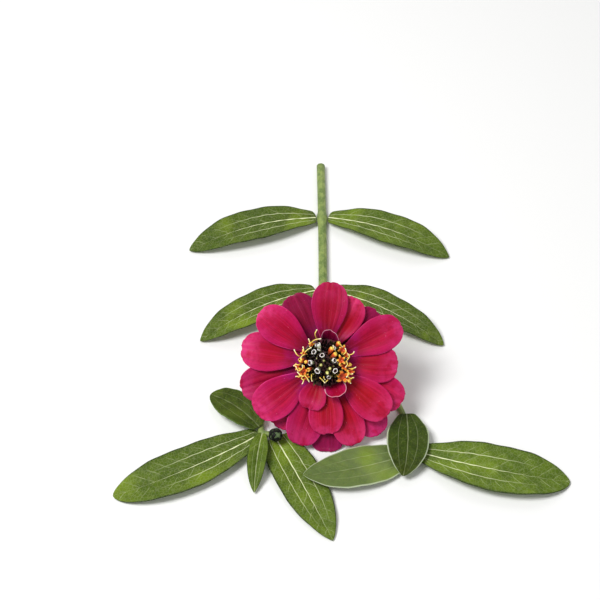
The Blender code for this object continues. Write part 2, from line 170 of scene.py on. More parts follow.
# %% [markdown]
# ## Thin sheets and tubes
# A petal or a leaf could be one surface with a Solidify modifier, but that gives it a square rim
# of one thickness. A real one thins to nothing at its edge. So the sheet is made as two grids, one
# above and one below a middle surface, that share their rim. Stems, styles and floret tubes are
# rings carried along a path, closed at both ends by a single point.

# %% Sheets
def blade_grid(rows, cols, first_side=-1):
    """Side from -1 to 1 across and along from 0 to 1, each as 0.65 x + 0.35 sin(x pi / 2), so that
    cells are finer at the sides and the tip. A sheet's upper face looks the other way when the
    sides start at 1."""
    even = (np.linspace(first_side, -first_side, cols), np.linspace(0, 1, rows)[:, None])
    return np.broadcast_arrays(*(0.65 * x + 0.35 * np.sin(x * math.pi / 2) for x in even))


def rims(side, spread, along, length):
    """The distance to the nearest side or tip, and the same with the foot counted as a rim too."""
    nearest = np.minimum((1 - np.abs(side)) * spread, (1 - along) * length)
    return nearest, np.minimum(nearest, along * length)


def thinned(half, *distances):
    """Half a thickness times the square root of each distance from a rim, cut off at 1."""
    shares = [np.clip(distance, 0, 1) for distance in distances]
    return half * np.sqrt(np.prod(shares, axis=0))


def sheet(middle, half, place, tint=0.5, keel=0.0):
    """Two grids round middle: above it by half along its normal, and below it by half and keel."""
    rows, cols = middle.shape[:2]
    normal = unit(np.cross(*np.gradient(middle, axis=(1, 0))))
    upper = np.arange(rows * cols).reshape(rows, cols)
    lower = upper.copy()
    lower[1:-1, 1:-1] = rows * cols + np.arange((rows - 2) * (cols - 2)).reshape(rows - 2, cols - 2)

    def joined(above, below):
        """Every point of the upper grid, then the inner points of the lower one."""
        return np.concatenate([above.reshape(-1, 3), below[1:-1, 1:-1].reshape(-1, 3)])

    points = joined(middle + normal * half[..., None], middle - normal * (half + keel)[..., None])
    quads = np.concatenate([quads_of(upper), quads_of(lower)[:, ::-1]])
    form = part(points, quads, (), joined(place, place), tint)
    form["under"][rows * cols :] = 1.0
    return form


# %% Tubes and turned forms
def capped(rings):
    """Rings of points joined in order, with a fan from each end ring to that ring's own middle. All
    three numbers of place are the share of the way from the first ring to the last."""
    count, sides = rings.shape[:2]
    numbers = np.arange(count * sides).reshape(count, sides)
    following = np.roll(numbers, -1, axis=1)
    start_fan = xyz(count * sides, following[0], numbers[0])
    end_fan = xyz(count * sides + 1, numbers[-1], following[-1])
    points = np.concatenate([rings.reshape(-1, 3), rings[[0, -1]].mean(axis=1)])
    quads = quads_of(np.append(numbers, numbers[:, :1], axis=1))
    share = np.append(np.repeat(np.linspace(0, 1, count), sides), [0, 1])
    return part(points, quads, [*start_fan, *end_fan], share[:, None])


def circle(sides, ridges, depth):
    """Cosine and sine of even angles, times 1 + depth times the cosine of ridges times the angle."""
    angle = np.arange(sides) * 2 * math.pi / sides
    return np.stack([np.cos(angle), np.sin(angle)]) * (1 + depth * np.cos(ridges * angle))


def tube(path, radius, sides, side_hint, ridges=0, depth=0.0):
    """Rings of radius round a path. Each ring's first axis is side_hint made square to the path."""
    along = unit(np.gradient(path, axis=0))
    one = unit(side_hint - along * (side_hint * along).sum(-1, keepdims=True))
    two = np.cross(along, one)
    cosine, sine = circle(sides, ridges, depth)[..., None]
    return capped(path[:, None] + (one[:, None] * cosine + two[:, None] * sine) * radius[:, None, None])


def turned(radius, height, sides, ridges=0, depth=0.0):
    """A profile turned round the Z axis: a ring of each radius at each height."""
    cosine, sine = circle(sides, ridges, depth)
    return capped(xyz(radius[:, None] * cosine, radius[:, None] * sine, height[:, None]))


def smooth_path(points, count):
    """A curve through the points: each stretch is the cubic whose slope at a point is half the step
    between that point's neighbours."""
    known = np.array(points, float) * MM
    ends = np.concatenate([[2 * known[0] - known[1]], known, [2 * known[-1] - known[-2]]])
    t = np.linspace(0, 1, count, endpoint=False)[:, None]
    runs = []
    for a, b, c, d in zip(ends, ends[1:], ends[2:], ends[3:]):
        cubic = 2 * b + (c - a) * t + (2 * a - 5 * b + 4 * c - d) * t**2 + (3 * b - a - 3 * c + d) * t**3
        runs.append(cubic / 2)
    return np.concatenate([*runs, known[-1:]])


# %% [markdown]
# ## Where the bloom sits
# The bloom faces 50 degrees above the horizon. In its own axes x runs to the right, y up along the
# face and z out of the face, so its forms can be written flat and then set in place by one matrix.
# The camera looks straight down that z axis.

# %% The bloom's axes
FACE_ELEVATION = math.radians(50)
BLOOM_CENTRE = np.array([0, -37, 20.5]) * MM
FACE = np.array([0, -math.cos(FACE_ELEVATION), math.sin(FACE_ELEVATION)])
UP_FACE = np.array([0, math.sin(FACE_ELEVATION), math.cos(FACE_ELEVATION)])
BLOOM_TURN = np.stack([RIGHT, UP_FACE, FACE], axis=-1)
FLOOR_SOFTNESS = 0.35 * MM


def on_bloom(form):
    """A form made in the bloom's own axes, in its place on the flower."""
    return moved(form, BLOOM_TURN, BLOOM_CENTRE)


def radial(radius, across, height, degrees):
    """Points of the bloom: radius out in one direction, across to its side and height off its face."""
    turn = math.radians(degrees)
    x = radius * math.cos(turn) - across * math.sin(turn)
    y = radius * math.sin(turn) + across * math.cos(turn)
    return xyz(x, y, height) @ BLOOM_TURN.T + BLOOM_CENTRE


def above_floor(points, floor):
    """Heights that level off softly at floor: floor + s ln(1 + e to the (height - floor) / s)."""
    height = floor + FLOOR_SOFTNESS * np.logaddexp(0.0, (points[..., 2] - floor) / FLOOR_SOFTNESS)
    return xyz(points[..., 0], points[..., 1], height)


print("bloom centre, mm:", (BLOOM_CENTRE / MM).round(1))

# %% [markdown]
# ## Node helpers
# A procedural finish is a small calculation on the surface's own values. Written out as separate
# nodes it is long, so what a node gives out is wrapped here as a value that can be added,
# multiplied and ramped like a number. A finish is then a ground colour under coats of other
# colours, each with the share that it covers. What is the same all over a surface is set straight
# on the shader.

# %% Values worked out by nodes
def paint(red, green, blue):
    """A screen colour, 0 to 255, as linear light: ((c + 0.055) / 1.055) to the power 2.4."""
    c = np.array([red, green, blue]) / 255
    linear = np.where(c <= 0.04045, c / 12.92, ((c + 0.055) / 1.055) ** 2.4)
    return (*linear.tolist(), 1.0)


class Value:
    """What a node gives out. Each sum on it adds one Math node."""

    def __init__(self, finish, socket):
        self.finish = finish
        self.socket = socket

    def __add__(self, other):
        return self.finish.math("ADD", self, other)

    def __sub__(self, other):
        return self.finish.math("SUBTRACT", self, other)

    def __mul__(self, other):
        return self.finish.math("MULTIPLY", self, other)

    def __truediv__(self, other):
        return self.finish.math("DIVIDE", self, other)

    def __abs__(self):
        return self.finish.math("ABSOLUTE", self)

    def ramp(self, low, high, to_low=0.0, to_high=1.0):
        """The value from low to high, mapped to to_low to to_high with soft ends."""
        numbers = enumerate((self, low, high, to_low, to_high))
        return self.finish.node("MapRange", numbers, interpolation_type="SMOOTHSTEP")


print("magenta as linear light:", paint(176, 8, 54))


# %% Finishes
class Finish:
    """A material under construction. sheen: its weight, roughness and tint. scatter: the weight,
    radius and scale of light that spreads under the surface."""

    def __init__(self, name, roughness, specular=0.5, sheen=(), scatter=()):
        self.material = bpy.data.materials.new(name)
        self.material.use_nodes = True
        self.tree = self.material.node_tree
        self.set({"Roughness": roughness, "Specular IOR Level": specular})
        self.set(zip(("Sheen Weight", "Sheen Roughness", "Sheen Tint"), sheen))
        self.set(zip(("Subsurface Weight", "Subsurface Radius", "Subsurface Scale"), scatter))

    def set(self, inputs, node="Principled BSDF"):
        """A value goes into a node by a link, a screen colour as linear light, a number as it is."""
        for name, value in dict(inputs).items():
            socket = self.tree.nodes[node].inputs[name]
            if isinstance(value, Value):
                self.tree.links.new(value.socket, socket)
            else:
                socket.default_value = paint(*value) if socket.type == "RGBA" else value

    def node(self, kind, inputs=(), output=0, **settings):
        """A new node, with what goes in by name or number, and the value of one of its outputs."""
        made = self.tree.nodes.new("ShaderNode" + kind)
        for name, value in settings.items():
            setattr(made, name, value)
        self.set(inputs, made.name)
        return Value(self, made.outputs[output])

    def math(self, operation, *values):
        """One Math node on the values."""
        return self.node("Math", enumerate(values), operation=operation)

    def most(self, value, *others):
        """The greatest of several values."""
        for other in others:
            value = self.math("MAXIMUM", value, other)
        return value

    def own(self, name, output="Fac"):
        """A value that the mesh carries."""
        return self.node("Attribute", output=output, attribute_name=name)

    def place(self):
        """The three numbers of place: across, along and the distance from the rim."""
        split = self.node("SeparateXYZ", {0: self.own("place", "Vector")})
        return [Value(self, socket) for socket in split.socket.node.outputs]

    def noise(self, where, scale, detail):
        """Noise between 0 and 1, read at a vector."""
        return self.node("TexNoise", {"Vector": where, "Scale": scale, "Detail": detail})

    def streaks(self, across, along, seat, scale, detail):
        """Noise on across and along, so it follows the piece. Each seat has a pattern of its own."""
        return self.noise(self.node("CombineXYZ", enumerate((across, along, seat))), scale, detail)

    def grain(self, scale, detail):
        """Noise on the object's own coordinates."""
        return self.noise(self.node("TexCoord", output="Object"), scale, detail)

    def cells(self, across, along, seat, scale):
        """The distance to the nearest wall between cells."""
        where = self.node("CombineXYZ", enumerate((across, along, seat)))
        inputs = {"Vector": where, "Scale": scale}
        return self.node("TexVoronoi", inputs, "Distance", feature="DISTANCE_TO_EDGE")

    def mix(self, share, first, second):
        """The first colour where the share is 0, the second where it is 1."""
        return self.node("Mix", {0: share, 6: first, 7: second}, 2, data_type="RGBA")

    def coats(self, ground, *coats):
        """A ground colour under coats of others, each with the share that it covers."""
        for share, colour in coats:
            ground = self.mix(share, ground, colour)
        return ground

    def done(self, colour, bump=None, roughness=None):
        """The finished material. bump: a height, how strongly it shows and how deep it is."""
        self.set({"Base Color": colour})
        if bump:
            self.set({"Normal": self.node("Bump", zip(("Height", "Strength", "Distance"), bump))})
        if roughness:
            self.set({"Roughness": roughness})
        print("finish:", self.material.name, "with", len(self.tree.nodes), "nodes")
        return self.material


# %% [markdown]
# ## The petals' finish
# A zinnia's ray petals are velvety: tiny cone-shaped cells scatter light, so the colour is deep
# where it is seen straight on and pink at a grazing angle. A sheen layer does that. The colour
# itself runs from dark violet at the claw through crimson to magenta, with fine streaks along the
# petal and a thin bright rim. Some of it is painted light: the dark claw is partly painted shade
# from the disc, a darker band along the middle is painted shade in the petal's groove, the paler
# sides are partly painted light, and the bright rim is partly a painted highlight. A flat magenta
# would lose all of this, and a picture is not needed, because every change follows the petal's own
# length and width.

# %% Petal finish
def petal_finish(name, rim_colour, rim_width, rim_share):
    """Magenta velvet. Colour follows place: across from -1 to 1, along from 0 to 1, rim in mm. The
    rim takes its own paler colour, partly a painted highlight, by a share that wanders between the
    two numbers of rim_share."""
    f = Finish(name, 0.55, 0.12, (0.05, 0.4, (235, 80, 160)), (0.08, (1.0, 0.15, 0.35), 1.0 * MM))
    across, along, rim = f.place()
    side = abs(across)
    tint = f.own("tint")
    streaks = f.streaks(across * 6.0, along * 0.9, tint * 40.0, 1.0, 4.0)
    hairlines = f.streaks(across * 24.0, along, tint * 40.0, 1.0, 3.0)
    clouds = f.grain(230.0, 3.0)
    # Painted shade: the middle of each petal's lower part is darkened along its groove
    trough = side.ramp(0.0, 0.55, 0.55, 0.0) * along.ramp(0.95, 0.5)
    tips = along.ramp(0.66, 1.0) * clouds.ramp(0.36, 0.6, 0.15, 0.75) * tint.ramp(0.0, 1.0, 0.3, 1.2)
    # Dark violet at the claw: partly the petal's own colour and partly painted shade from the disc
    claw = f.mix(clouds.ramp(0.44, 0.66), (92, 2, 26), (130, 14, 104))
    # A thin paler rim: partly the petal's own margin and partly a painted highlight along the edge
    pale_rim_and_highlight = rim.ramp(0.0, rim_width, 1.0, 0.0) * f.grain(160.0, 1.0).ramp(0.42, 0.62, *rim_share)
    front = f.coats(
        (148, 4, 38),
        (streaks.ramp(0.3, 0.72), (176, 8, 54)),
        (trough, (142, 4, 24)),
        (clouds.ramp(0.48, 0.68, 0.0, 0.6), (152, 4, 30)),
        # Paler towards the sides: partly the petal's own colour and partly painted light on the raised
        # margins
        (side.ramp(0.3, 1.0, 0.0, 0.55), (174, 20, 91)),
        (tips, (197, 48, 110)),
        (along.ramp(0.24, 0.6, 0.9, 0.0), claw),
        (f.grain(1100.0, 3.0).ramp(0.5, 0.7, 0.0, 0.3), (132, 2, 40)),
        (hairlines.ramp(0.5, 0.72, 0.0, 0.15), (112, 2, 34)),
        (hairlines.ramp(0.46, 0.3, 0.0, 0.16), (222, 56, 130)),
        (pale_rim_and_highlight, rim_colour),
        # Tiny pale specks at random: partly dust and partly painted glints
        (f.grain(2600.0, 1.0).ramp(0.79, 0.83, 0.0, 0.6), (245, 190, 215)),
    )
    back = f.coats(
        (150, 120, 90),
        (along.ramp(0.2, 0.7), (196, 84, 118)),
        (hairlines.ramp(0.4, 0.65, 0.0, 0.6), (166, 48, 84)),
    )
    # The tint also sets each petal's brightness: partly its own tone and partly painted shade on the petals
    # that lie in shadow
    shift = {
        "Hue": tint.ramp(0.0, 0.6, 0.482, 0.5) + f.math("SINE", tint * 17.0) * 0.005,
        "Value": tint.ramp(0.0, 1.0, 0.6, 1.17),
        "Color": f.mix(f.own("under"), front, back),
    }
    relief = (streaks * 0.5 + hairlines * 0.3, 0.22, 0.12 * MM)
    return f.done(f.node("HueSaturation", shift), relief, streaks.ramp(0.3, 0.7, 0.42, 0.58))


# The rim colours here are partly painted highlights along the petals' edges
PETAL_FINISH = petal_finish("petal velvet", (226, 66, 140), 0.28, (0.05, 0.8))
ROLLED_FINISH = petal_finish("rolled petal velvet", (250, 190, 204), 0.3, (0.6, 1.0))

# %% [markdown]
# ## The broad petals
# Each ray petal has a narrow claw at the disc, widens to about two thirds of its length and closes
# in a blunt, slightly notched tip. They overlap in layers, the back ones lower. A petal could be
# sculpted once and copied, but in the real bloom none repeats another, so each comes from one
# formula with its own direction, reach, width and layer, and a few waves of its own. Shallow
# grooves run along it, a pair beside the middle and finer ones between them.

# %% Petal outline
CORE_RADIUS = 8.6 * MM
CORE_BOTTOM = -0.6 * MM
CORE_TOP = 3.4 * MM
PETAL_ROOT = 5.0 * MM
PETAL_CLAW = 2.6 * MM
PETAL_WIDEST = 0.66
PETAL_CORNER = 0.7
TIP_ROUNDNESS = 2.3


def rounded(x):
    """(1 - x^r)^(1/r), a curve between a circle and a square."""
    return (1 - np.abs(x) ** TIP_ROUNDNESS) ** (1 / TIP_ROUNDNESS)


def tip_line(side):
    """Where the tip lies, as a share of the length: the rounded curve beyond the widest place."""
    return PETAL_WIDEST + (1 - PETAL_WIDEST) * rounded(side * PETAL_CORNER)


def half_width(width, along):
    """A smooth widening from the claw, then the same rounded closing curve as the tip's."""
    opened = smoothstep(along / PETAL_WIDEST) ** 0.8
    closing = np.clip((along - PETAL_WIDEST) / (1 - PETAL_WIDEST), 0, 1)
    rising = (PETAL_CLAW + (width - PETAL_CLAW) * opened) / 2
    return np.where(along < PETAL_WIDEST, rising, width / 2 * rounded(closing))


print("a petal's corner reaches", tip_line(1.0).round(2), "of its length")

# %% Broad petals
LAYER_STEP = 0.95 * MM
PETAL_FLOOR = 0.48 * MM
PETAL_HALF = 0.16 * MM
RIM_TAPER = 0.45 * MM
# Each broad petal: direction in degrees, reach and width in mm, layer from the back, and its tint,
# from dark to light. The tint also paints in how much shade falls on each petal, so the darkest
# are partly painted shade.
PETALS = (
    (85, 28.3, 12.9, 2.2, 0.55),
    (64, 25.1, 11.8, 1.3, 0.86),
    (42, 26.0, 12.5, 0.2, 0.22),
    (26.5, 30.0, 12.8, 2.0, 0.72),
    (-2, 25.8, 13.2, 1.5, 0.75),
    (-27, 31.0, 13.0, 0.9, 0.92),
    (-51.5, 32.2, 13.0, 0.1, 1.0),
    (-69.5, 31.0, 12.0, 1.2, 0.83),
    (-88.5, 25.3, 12.2, 2.5, 0.8),
    (-88, 32.7, 13.0, 0.0, 0.24),
    (252.5, 30.5, 13.1, 1.3, 0.66),
    (232, 28.6, 12.5, 0.2, 0.9),
    (216.5, 29.9, 14.0, 2.2, 0.95),
    (198, 31.0, 13.2, 0.3, 0.6),
    (170, 29.8, 13.8, 1.4, 0.93),
    (141.5, 28.8, 12.9, 2.4, 0.95),
    (116, 26.3, 12.8, 0.2, 0.1),
    (251, 17.3, 9.6, 3.2, 0.76),
    (-39.5, 28.9, 13.0, 2.2, 0.85),
)


def petal_relief(side, along, index):
    """Heights in mm that make one petal its own: grooves along it, a waved rim and a curled tip."""
    grooves = 0.1 * hump(np.abs(side), 0.36, 0.13) + 0.16 * hump(side, 0, 0.11)
    fine = 0.015 * np.cos(17 * side + index)
    wave = 0.28 * side * side * np.sin(5.5 * along + 1.7 * index + 2.0 * side)
    ripple = 0.12 * np.sin(8 * along + 4 * side * math.cos(index) + 2.2 * index) * (1 - 0.5 * side * side)
    curl = 0.5 * math.sin(2.1 * index) * smoothstep((along - 0.72) / 0.28) ** 2
    return (wave + ripple + curl - grooves - fine) * smoothstep(along / 0.35)


def broad_petal(index, degrees, reach, width, layer, tint):
    """Radius grows with along up to the tip line, across is side times the half width, and height
    is the layer's, plus a rise off the core, less a droop with along cubed, plus cup and relief."""
    side, along = blade_grid(66, 45, 1)
    length = reach * MM - PETAL_ROOT
    spread = half_width(width * MM, along * tip_line(1.0))
    depth = 0.22 + 0.2 * math.sin(4.1 * index)
    notch = depth * hump(side, 0.15 * math.sin(index), 0.17) + 0.07 * np.sin(8 * side + index)
    ragged = 0.06 * np.sin(17 * side + 5 * index) + 0.035 * np.sin(31 * side + 2 * index)
    radius = PETAL_ROOT + along * (length * tip_line(side) - (notch + ragged) * MM * along**6)
    clear = (radius - CORE_RADIUS) / (reach * MM - CORE_RADIUS)
    rise = (1.2 + 0.5 * layer) * smoothstep(clear) - (2.2 - 0.2 * layer) * along**3
    cup = (0.55 + 0.25 * math.sin(3.1 * index)) * side * side
    twist = 0.05 * math.sin(2.4 * index) * side * spread / MM
    rise = rise + (cup + twist) * smoothstep(along / 0.4) + petal_relief(side, along, index)
    middle = radial(radius, side * spread, LAYER_STEP * layer + rise * MM, degrees)
    nearest, rim = rims(side, spread, along, length)
    place = xyz(side, radius / (reach * MM), nearest / MM)
    return sheet(above_floor(middle, PETAL_FLOOR), thinned(PETAL_HALF, rim / RIM_TAPER), place, tint)


for index, row in enumerate(PETALS):
    make(f"petal_{index:02d}", broad_petal(index, *row), PETAL_FINISH, ["ray_petals"])

# %% [markdown]
# ## The two rolled petals
# Beside the disc stand two young petals that have not opened: little hoods whose pale rims show as
# a thin line round a dark red hollow. The pale rim is partly a painted highlight and the dark red
# is partly painted shade inside the hood. The same kind of grid makes them, bent up and rolled
# inward.

# %% Rolled petals
ROLLED_ROOT = 7.4 * MM
ROLLED_FOOT = CORE_TOP - 1.2 * MM
ROLLED_HEIGHT = 5.4 * MM
ROLLED_HALF = 0.14 * MM
ROLLED_TAPER = 0.3 * MM
# Each rolled petal: direction in degrees, reach, width and depth of its rim in mm, and how far the
# rim's furthest point lies to one side
ROLLED_PETALS = ((78.0, 11.6, 6.2, 3.4, 0.3), (-67.5, 12.6, 7.6, 3.2, 0.15))


def rolled_petal(index, degrees, reach, width, depth, skew):
    """A hood that opens towards the disc. Its rim is a half ellipse: reach less depth times
    1 - (1 - u^2.2)^0.45, where u is side, shifted by skew in the middle. Radius grows from the foot
    to the rim with the 0.8 power of along, and height with along."""
    side, along = blade_grid(34, 41, 1)
    spread = width * MM / 2 * (0.9 + 0.1 * smoothstep(along / 0.8))
    u = np.clip(np.abs(side - skew * (1 - side * side)), 0, 1)
    rim_radius = reach - depth * (1 - (1 - 0.995 * u**2.2) ** 0.45) + 0.1 * np.sin(9 * side + index)
    radius = ROLLED_ROOT + (rim_radius * MM - ROLLED_ROOT) * along**0.8
    rise = ROLLED_HEIGHT - (0.9 * side**4 + 0.2 * np.cos(7 * side + index)) * MM
    middle = radial(radius, side * spread, ROLLED_FOOT + rise * along, degrees)
    nearest, rim = rims(side, spread, along, ROLLED_HEIGHT)
    place = xyz(side, 0.34 + 0.4 * along, nearest / MM)
    return sheet(middle, thinned(ROLLED_HALF, rim / ROLLED_TAPER), place, 0.3 + 0.4 * index)


for index, row in enumerate(ROLLED_PETALS):
    make(f"rolled_petal_{index}", rolled_petal(index, *row), ROLLED_FINISH, ["ray_petals"])

# %% [markdown]
# ## The receptacle
# All petals and florets grow from one short fleshy cone. Little of it shows, only a dark red floor
# between the petal claws and the disc, so a turned profile is enough.

# %% Receptacle
def plain_finish(name, low, high, scale, roughness):
    """Two colours mixed by noise on the object's own coordinates, with a matching bump."""
    f = Finish(name, roughness)
    grain = f.grain(scale, 3.0)
    return f.done(f.mix(grain.ramp(0.35, 0.65), low, high), (grain, 0.3, 0.1 * MM))


RECEPTACLE_FINISH = plain_finish("receptacle", (60, 6, 26), (96, 14, 44), 900.0, 0.6)
height = np.array([-0.6, -0.3, 0.6, 1.8, 2.9, 3.35, 3.4]) * MM
radius = np.array([6.6, 7.0, 7.5, 8.1, 8.5, 8.4, 7.8]) * MM
make("receptacle", on_bloom(turned(radius, height, 64)), RECEPTACLE_FINISH, ["ray_petals"])

# %% [markdown]
# ## The disc
# The middle of the bloom is a low dome covered with chaff: stiff pointed scales, nearly black, with
# red-brown fringed tips. They follow the golden angle, 137.5 degrees from one to the next, which is
# how the real head packs them. Each is a small trough-shaped sheet that leans outward more the
# nearer it is to the rim.

# %% Disc dome
DISC_RADIUS = 6.3 * MM
DISC_RISE = 4.0 * MM
DISC_FLOOR = CORE_TOP + 0.3 * MM


def dome_height(ring):
    """Height of the dome at a distance from its axis: floor + rise (1 - (ring / radius)^2.2)^0.5."""
    return DISC_FLOOR + DISC_RISE * np.sqrt(np.clip(1 - (ring / DISC_RADIUS) ** 2.2, 0, 1))


def stood(form, turn, ring, lean, sink):
    """The form on the dome, in direction turn and at distance ring from the axis, sunk into it by
    sink and leaned outward by the angle lean."""
    outward = np.array([math.cos(turn), math.sin(turn), 0.0])
    side = np.cross(UP, outward)
    top = outward * math.sin(lean) + UP * math.cos(lean)
    axes = np.stack([side, np.cross(top, side), top], axis=-1)
    return on_bloom(moved(form, axes, outward * ring + UP * (dome_height(ring) - sink)))


dome_ring = np.concatenate([[0.6, 0.97], np.linspace(0.3, 1, 18)[::-1] ** 0.7]) * DISC_RADIUS
dome_top = np.append([DISC_FLOOR, DISC_FLOOR], dome_height(dome_ring[2:]))
dome = on_bloom(turned(dome_ring, dome_top, 48))
print("top of the dome, mm off the face:", round(dome_top.max() / MM, 2))

# %% Chaff
CHAFF_RING = 6.6 * MM
CHAFF_COUNT = 170
CHAFF_WIDTH = 1.05 * MM
CHAFF_HALF = 0.07 * MM
CHAFF_SINK = 0.8 * MM
GOLDEN_ANGLE = math.radians(137.508)


def chaff_finish():
    """Nearly black, with tips from red to straw by tint."""
    f = Finish("chaff", 0.5)
    tint = f.own("tint")
    body = f.mix(tint.ramp(0.2, 0.8), (16, 7, 9), (20, 18, 7))
    tip = f.mix(tint.ramp(0.5, 0.95), (78, 24, 28), (120, 108, 46))
    return f.done(f.mix(f.place()[1].ramp(0.5, 1.0, 0.0, 0.8), body, tip))


def chaff_scale(index):
    """A pointed trough: across is side times half the width times 1 - 0.85 along^3. It is folded by
    side squared and bent by along squared."""
    length = (2.9 + 0.6 * math.sin(7 * index)) * MM
    side, along = blade_grid(9, 5)
    across = side * CHAFF_WIDTH / 2 * (1 - 0.85 * along**3)
    fold = (0.35 * side * side - 0.3 * along * along) * CHAFF_WIDTH
    half = thinned(CHAFF_HALF, (1 - np.abs(side)) * 3, (1 - along) * 5)
    place = xyz(side, along, 1 - along)
    return sheet(xyz(across, fold, along * length), half, place, 0.5 + 0.5 * math.sin(3.3 * index))


forms = [dome]
for index in range(CHAFF_COUNT):
    share = math.sqrt((index + 0.5) / CHAFF_COUNT)
    lean = 0.85 * share + 0.15 * math.sin(5 * index)
    forms.append(stood(chaff_scale(index), GOLDEN_ANGLE * index, CHAFF_RING * share, lean, CHAFF_SINK))
make("disc_chaff", together(forms), chaff_finish(), ["disc"])

# %% [markdown]
# ## Florets and styles
# Round the dome the florets open from the outside inward. Outermost are orange tubes that end in
# five pointed, felted lobes. Further in stand pale green florets that are still closed but for a
# small round mouth, and yellow-green buds. Beyond them the ray petals' own styles show as thin
# yellow forks. Each kind is one function of its size, and a table says where its top stands on the
# face of this bloom. Where its foot stands on the disc then follows from how far it leans.

# %% Placing a floret
FLORET_SINK = 0.4 * MM


def place_floret(form, x, y, length, lean):
    """The form leaned outward, with its foot on the disc where its top comes over x, y in mm."""
    foot_ring = max(math.hypot(x, y) * MM - length * math.sin(lean), 0.2 * MM)
    return stood(form, math.atan2(y, x), foot_ring, lean, FLORET_SINK)


def floret_finish(name, colours, flecks):
    """Colours blended in turn along the floret, each with the share of the length where it is
    reached, under light flecks of noise and a felted bump."""
    f = Finish(name, 0.5, 0.5, (0.04,), (0.1, (1.0, 0.6, 0.2), 0.5 * MM))
    along = f.place()[1]
    grain = f.grain(2500.0, 2.0)
    steps = zip(colours, colours[1:])
    bands = [(along.ramp(low, high), colour) for (low, _), (high, colour) in steps]
    body = f.coats(colours[0][1], *bands, (grain.ramp(0.45, 0.7, 0.0, 0.3), flecks))
    return f.done(body, (grain, 0.5, 0.08 * MM))


# %% Open florets
FLORET_LENGTH = 3.0 * MM
FOOT_RADIUS = 0.4 * MM
MOUTH_RADIUS = 0.64 * MM
LOBE_WIDTH = 0.84 * MM
LOBE_HALF = 0.11 * MM


def floret_length(size):
    """Of the full length, 0.7 is the same for every open floret and 0.3 goes with its size."""
    return FLORET_LENGTH * (0.7 + 0.3 * size)


def floret_tube(length, foot, mouth):
    """A slender trumpet: radius runs smoothly from foot to mouth, and the mouth turns inward. Its
    inside has the colour of its rim."""
    share = np.linspace(0, 1, 9)
    radius = foot + (mouth - foot) * smoothstep(share * 1.1 - 0.1)
    radius = np.append(radius, [0.8 * mouth, 0.35 * mouth])
    height = np.append(share, [0.98, 0.8]) * length
    form = turned(radius, height, 12)
    form["place"] = np.where(form["place"] > 0.85, 0.48, 0.6 * form["place"])
    return form


def floret_lobe(angle, length, width, start, height, reflex):
    """A pointed lobe that leaves the mouth at start and bends back by reflex times along squared. With
    next to no reflex it closes over the mouth instead, by 0.36 times along squared."""
    side, along = blade_grid(9, 6)
    across = side * width / 2 * (1 - along**2) ** 0.7
    opened = float(smoothstep(reflex * 2.5))
    out = (1 - 0.25 * reflex * along) * along * opened - 0.36 * along**2 * (1 - opened)
    up = height + (0.55 * along - reflex * along * along) * length + 0.12 * width * side * side
    half = thinned(LOBE_HALF, (1 - np.abs(side)) * 2.5, (1 - along) * 4)
    lobe = sheet(xyz(start + length * out, across, up), half, xyz(side, 0.6 + 0.4 * along, 1 - along))
    c, s = math.cos(angle), math.sin(angle)
    return moved(lobe, [[c, -s, 0], [s, c, 0], [0, 0, 1]])


def open_floret(size, reflex, twist):
    """A tube and five lobes, turned by twist about its own axis."""
    mouth = MOUTH_RADIUS * size
    length = floret_length(size)
    forms = [floret_tube(length, FOOT_RADIUS * size, mouth)]
    for lobe in range(5):
        angle = twist + lobe * 2 * math.pi / 5 + 0.16 * math.sin(4.7 * lobe + twist)
        reach = (1.35 + 0.32 * math.sin(2.9 * lobe + 1.3 * twist)) * MM * size
        bend = reflex * (1 + 0.4 * math.sin(5.3 * lobe + twist))
        forms.append(floret_lobe(angle, reach, LOBE_WIDTH * size, 0.8 * mouth, length, bend))
    return together(forms)


OPEN_COLOURS = ((0.0, (84, 20, 8)), (0.57, (200, 54, 10)), (0.71, (242, 114, 20)), (0.9, (255, 222, 90)))
OPEN_FINISH = floret_finish("open floret", OPEN_COLOURS, (250, 168, 44))
# Each open floret: x and y of its mouth on the bloom in mm, size, how far its lobes bend back.
# With 0.1 or less the lobes still stand together, as in a floret that is about to open.
OPEN_FLORETS = (
    (2.2, 4.8, 1.35, 0.0),
    (4.7, 6.7, 1.25, 0.05),
    (6.1, 4.5, 1.15, 0.8),
    (3.4, 3.0, 1.25, 0.05),
    (5.6, 1.1, 1.1, 0.5),
    (7.5, 2.7, 0.85, 0.8),
    (6.7, -1.1, 1.1, 0.7),
    (8.6, -0.7, 1.15, 0.05),
    (9.0, -3.2, 1.0, 0.9),
    (6.1, -4.7, 1.7, 1.0),
    (8.4, -6.2, 1.0, 0.1),
    (-8.2, 0.9, 1.5, 0.08),
    (-7.6, -2.8, 1.35, 0.7),
    (-9.6, -1.3, 0.8, 0.7),
    (-6.5, 0.4, 1.0, 0.05),
    (-5.6, -2.2, 1.0, 0.1),
    (-7.3, 3.3, 0.8, 0.4),
    (-6.3, -5.0, 0.8, 0.6),
    (-4.6, 6.2, 0.7, 0.3),
)
forms = []
for index, (x, y, size, reflex) in enumerate(OPEN_FLORETS):
    lean = 0.28 + 0.1 * math.sin(3 * index) + 0.5 * max(1 - 6 * reflex, 0)
    floret = open_floret(size, reflex, 1.9 * index)
    forms.append(place_floret(floret, x, y, floret_length(size), lean))
make("open_florets", together(forms), OPEN_FINISH, ["disc_florets"])


# %% Closed florets and yellow buds
CLOSED_LENGTH = 2.36 * MM
FLORET_BUD_LENGTH = 1.9 * MM
FLORET_BUD_RADIUS = 0.48 * MM


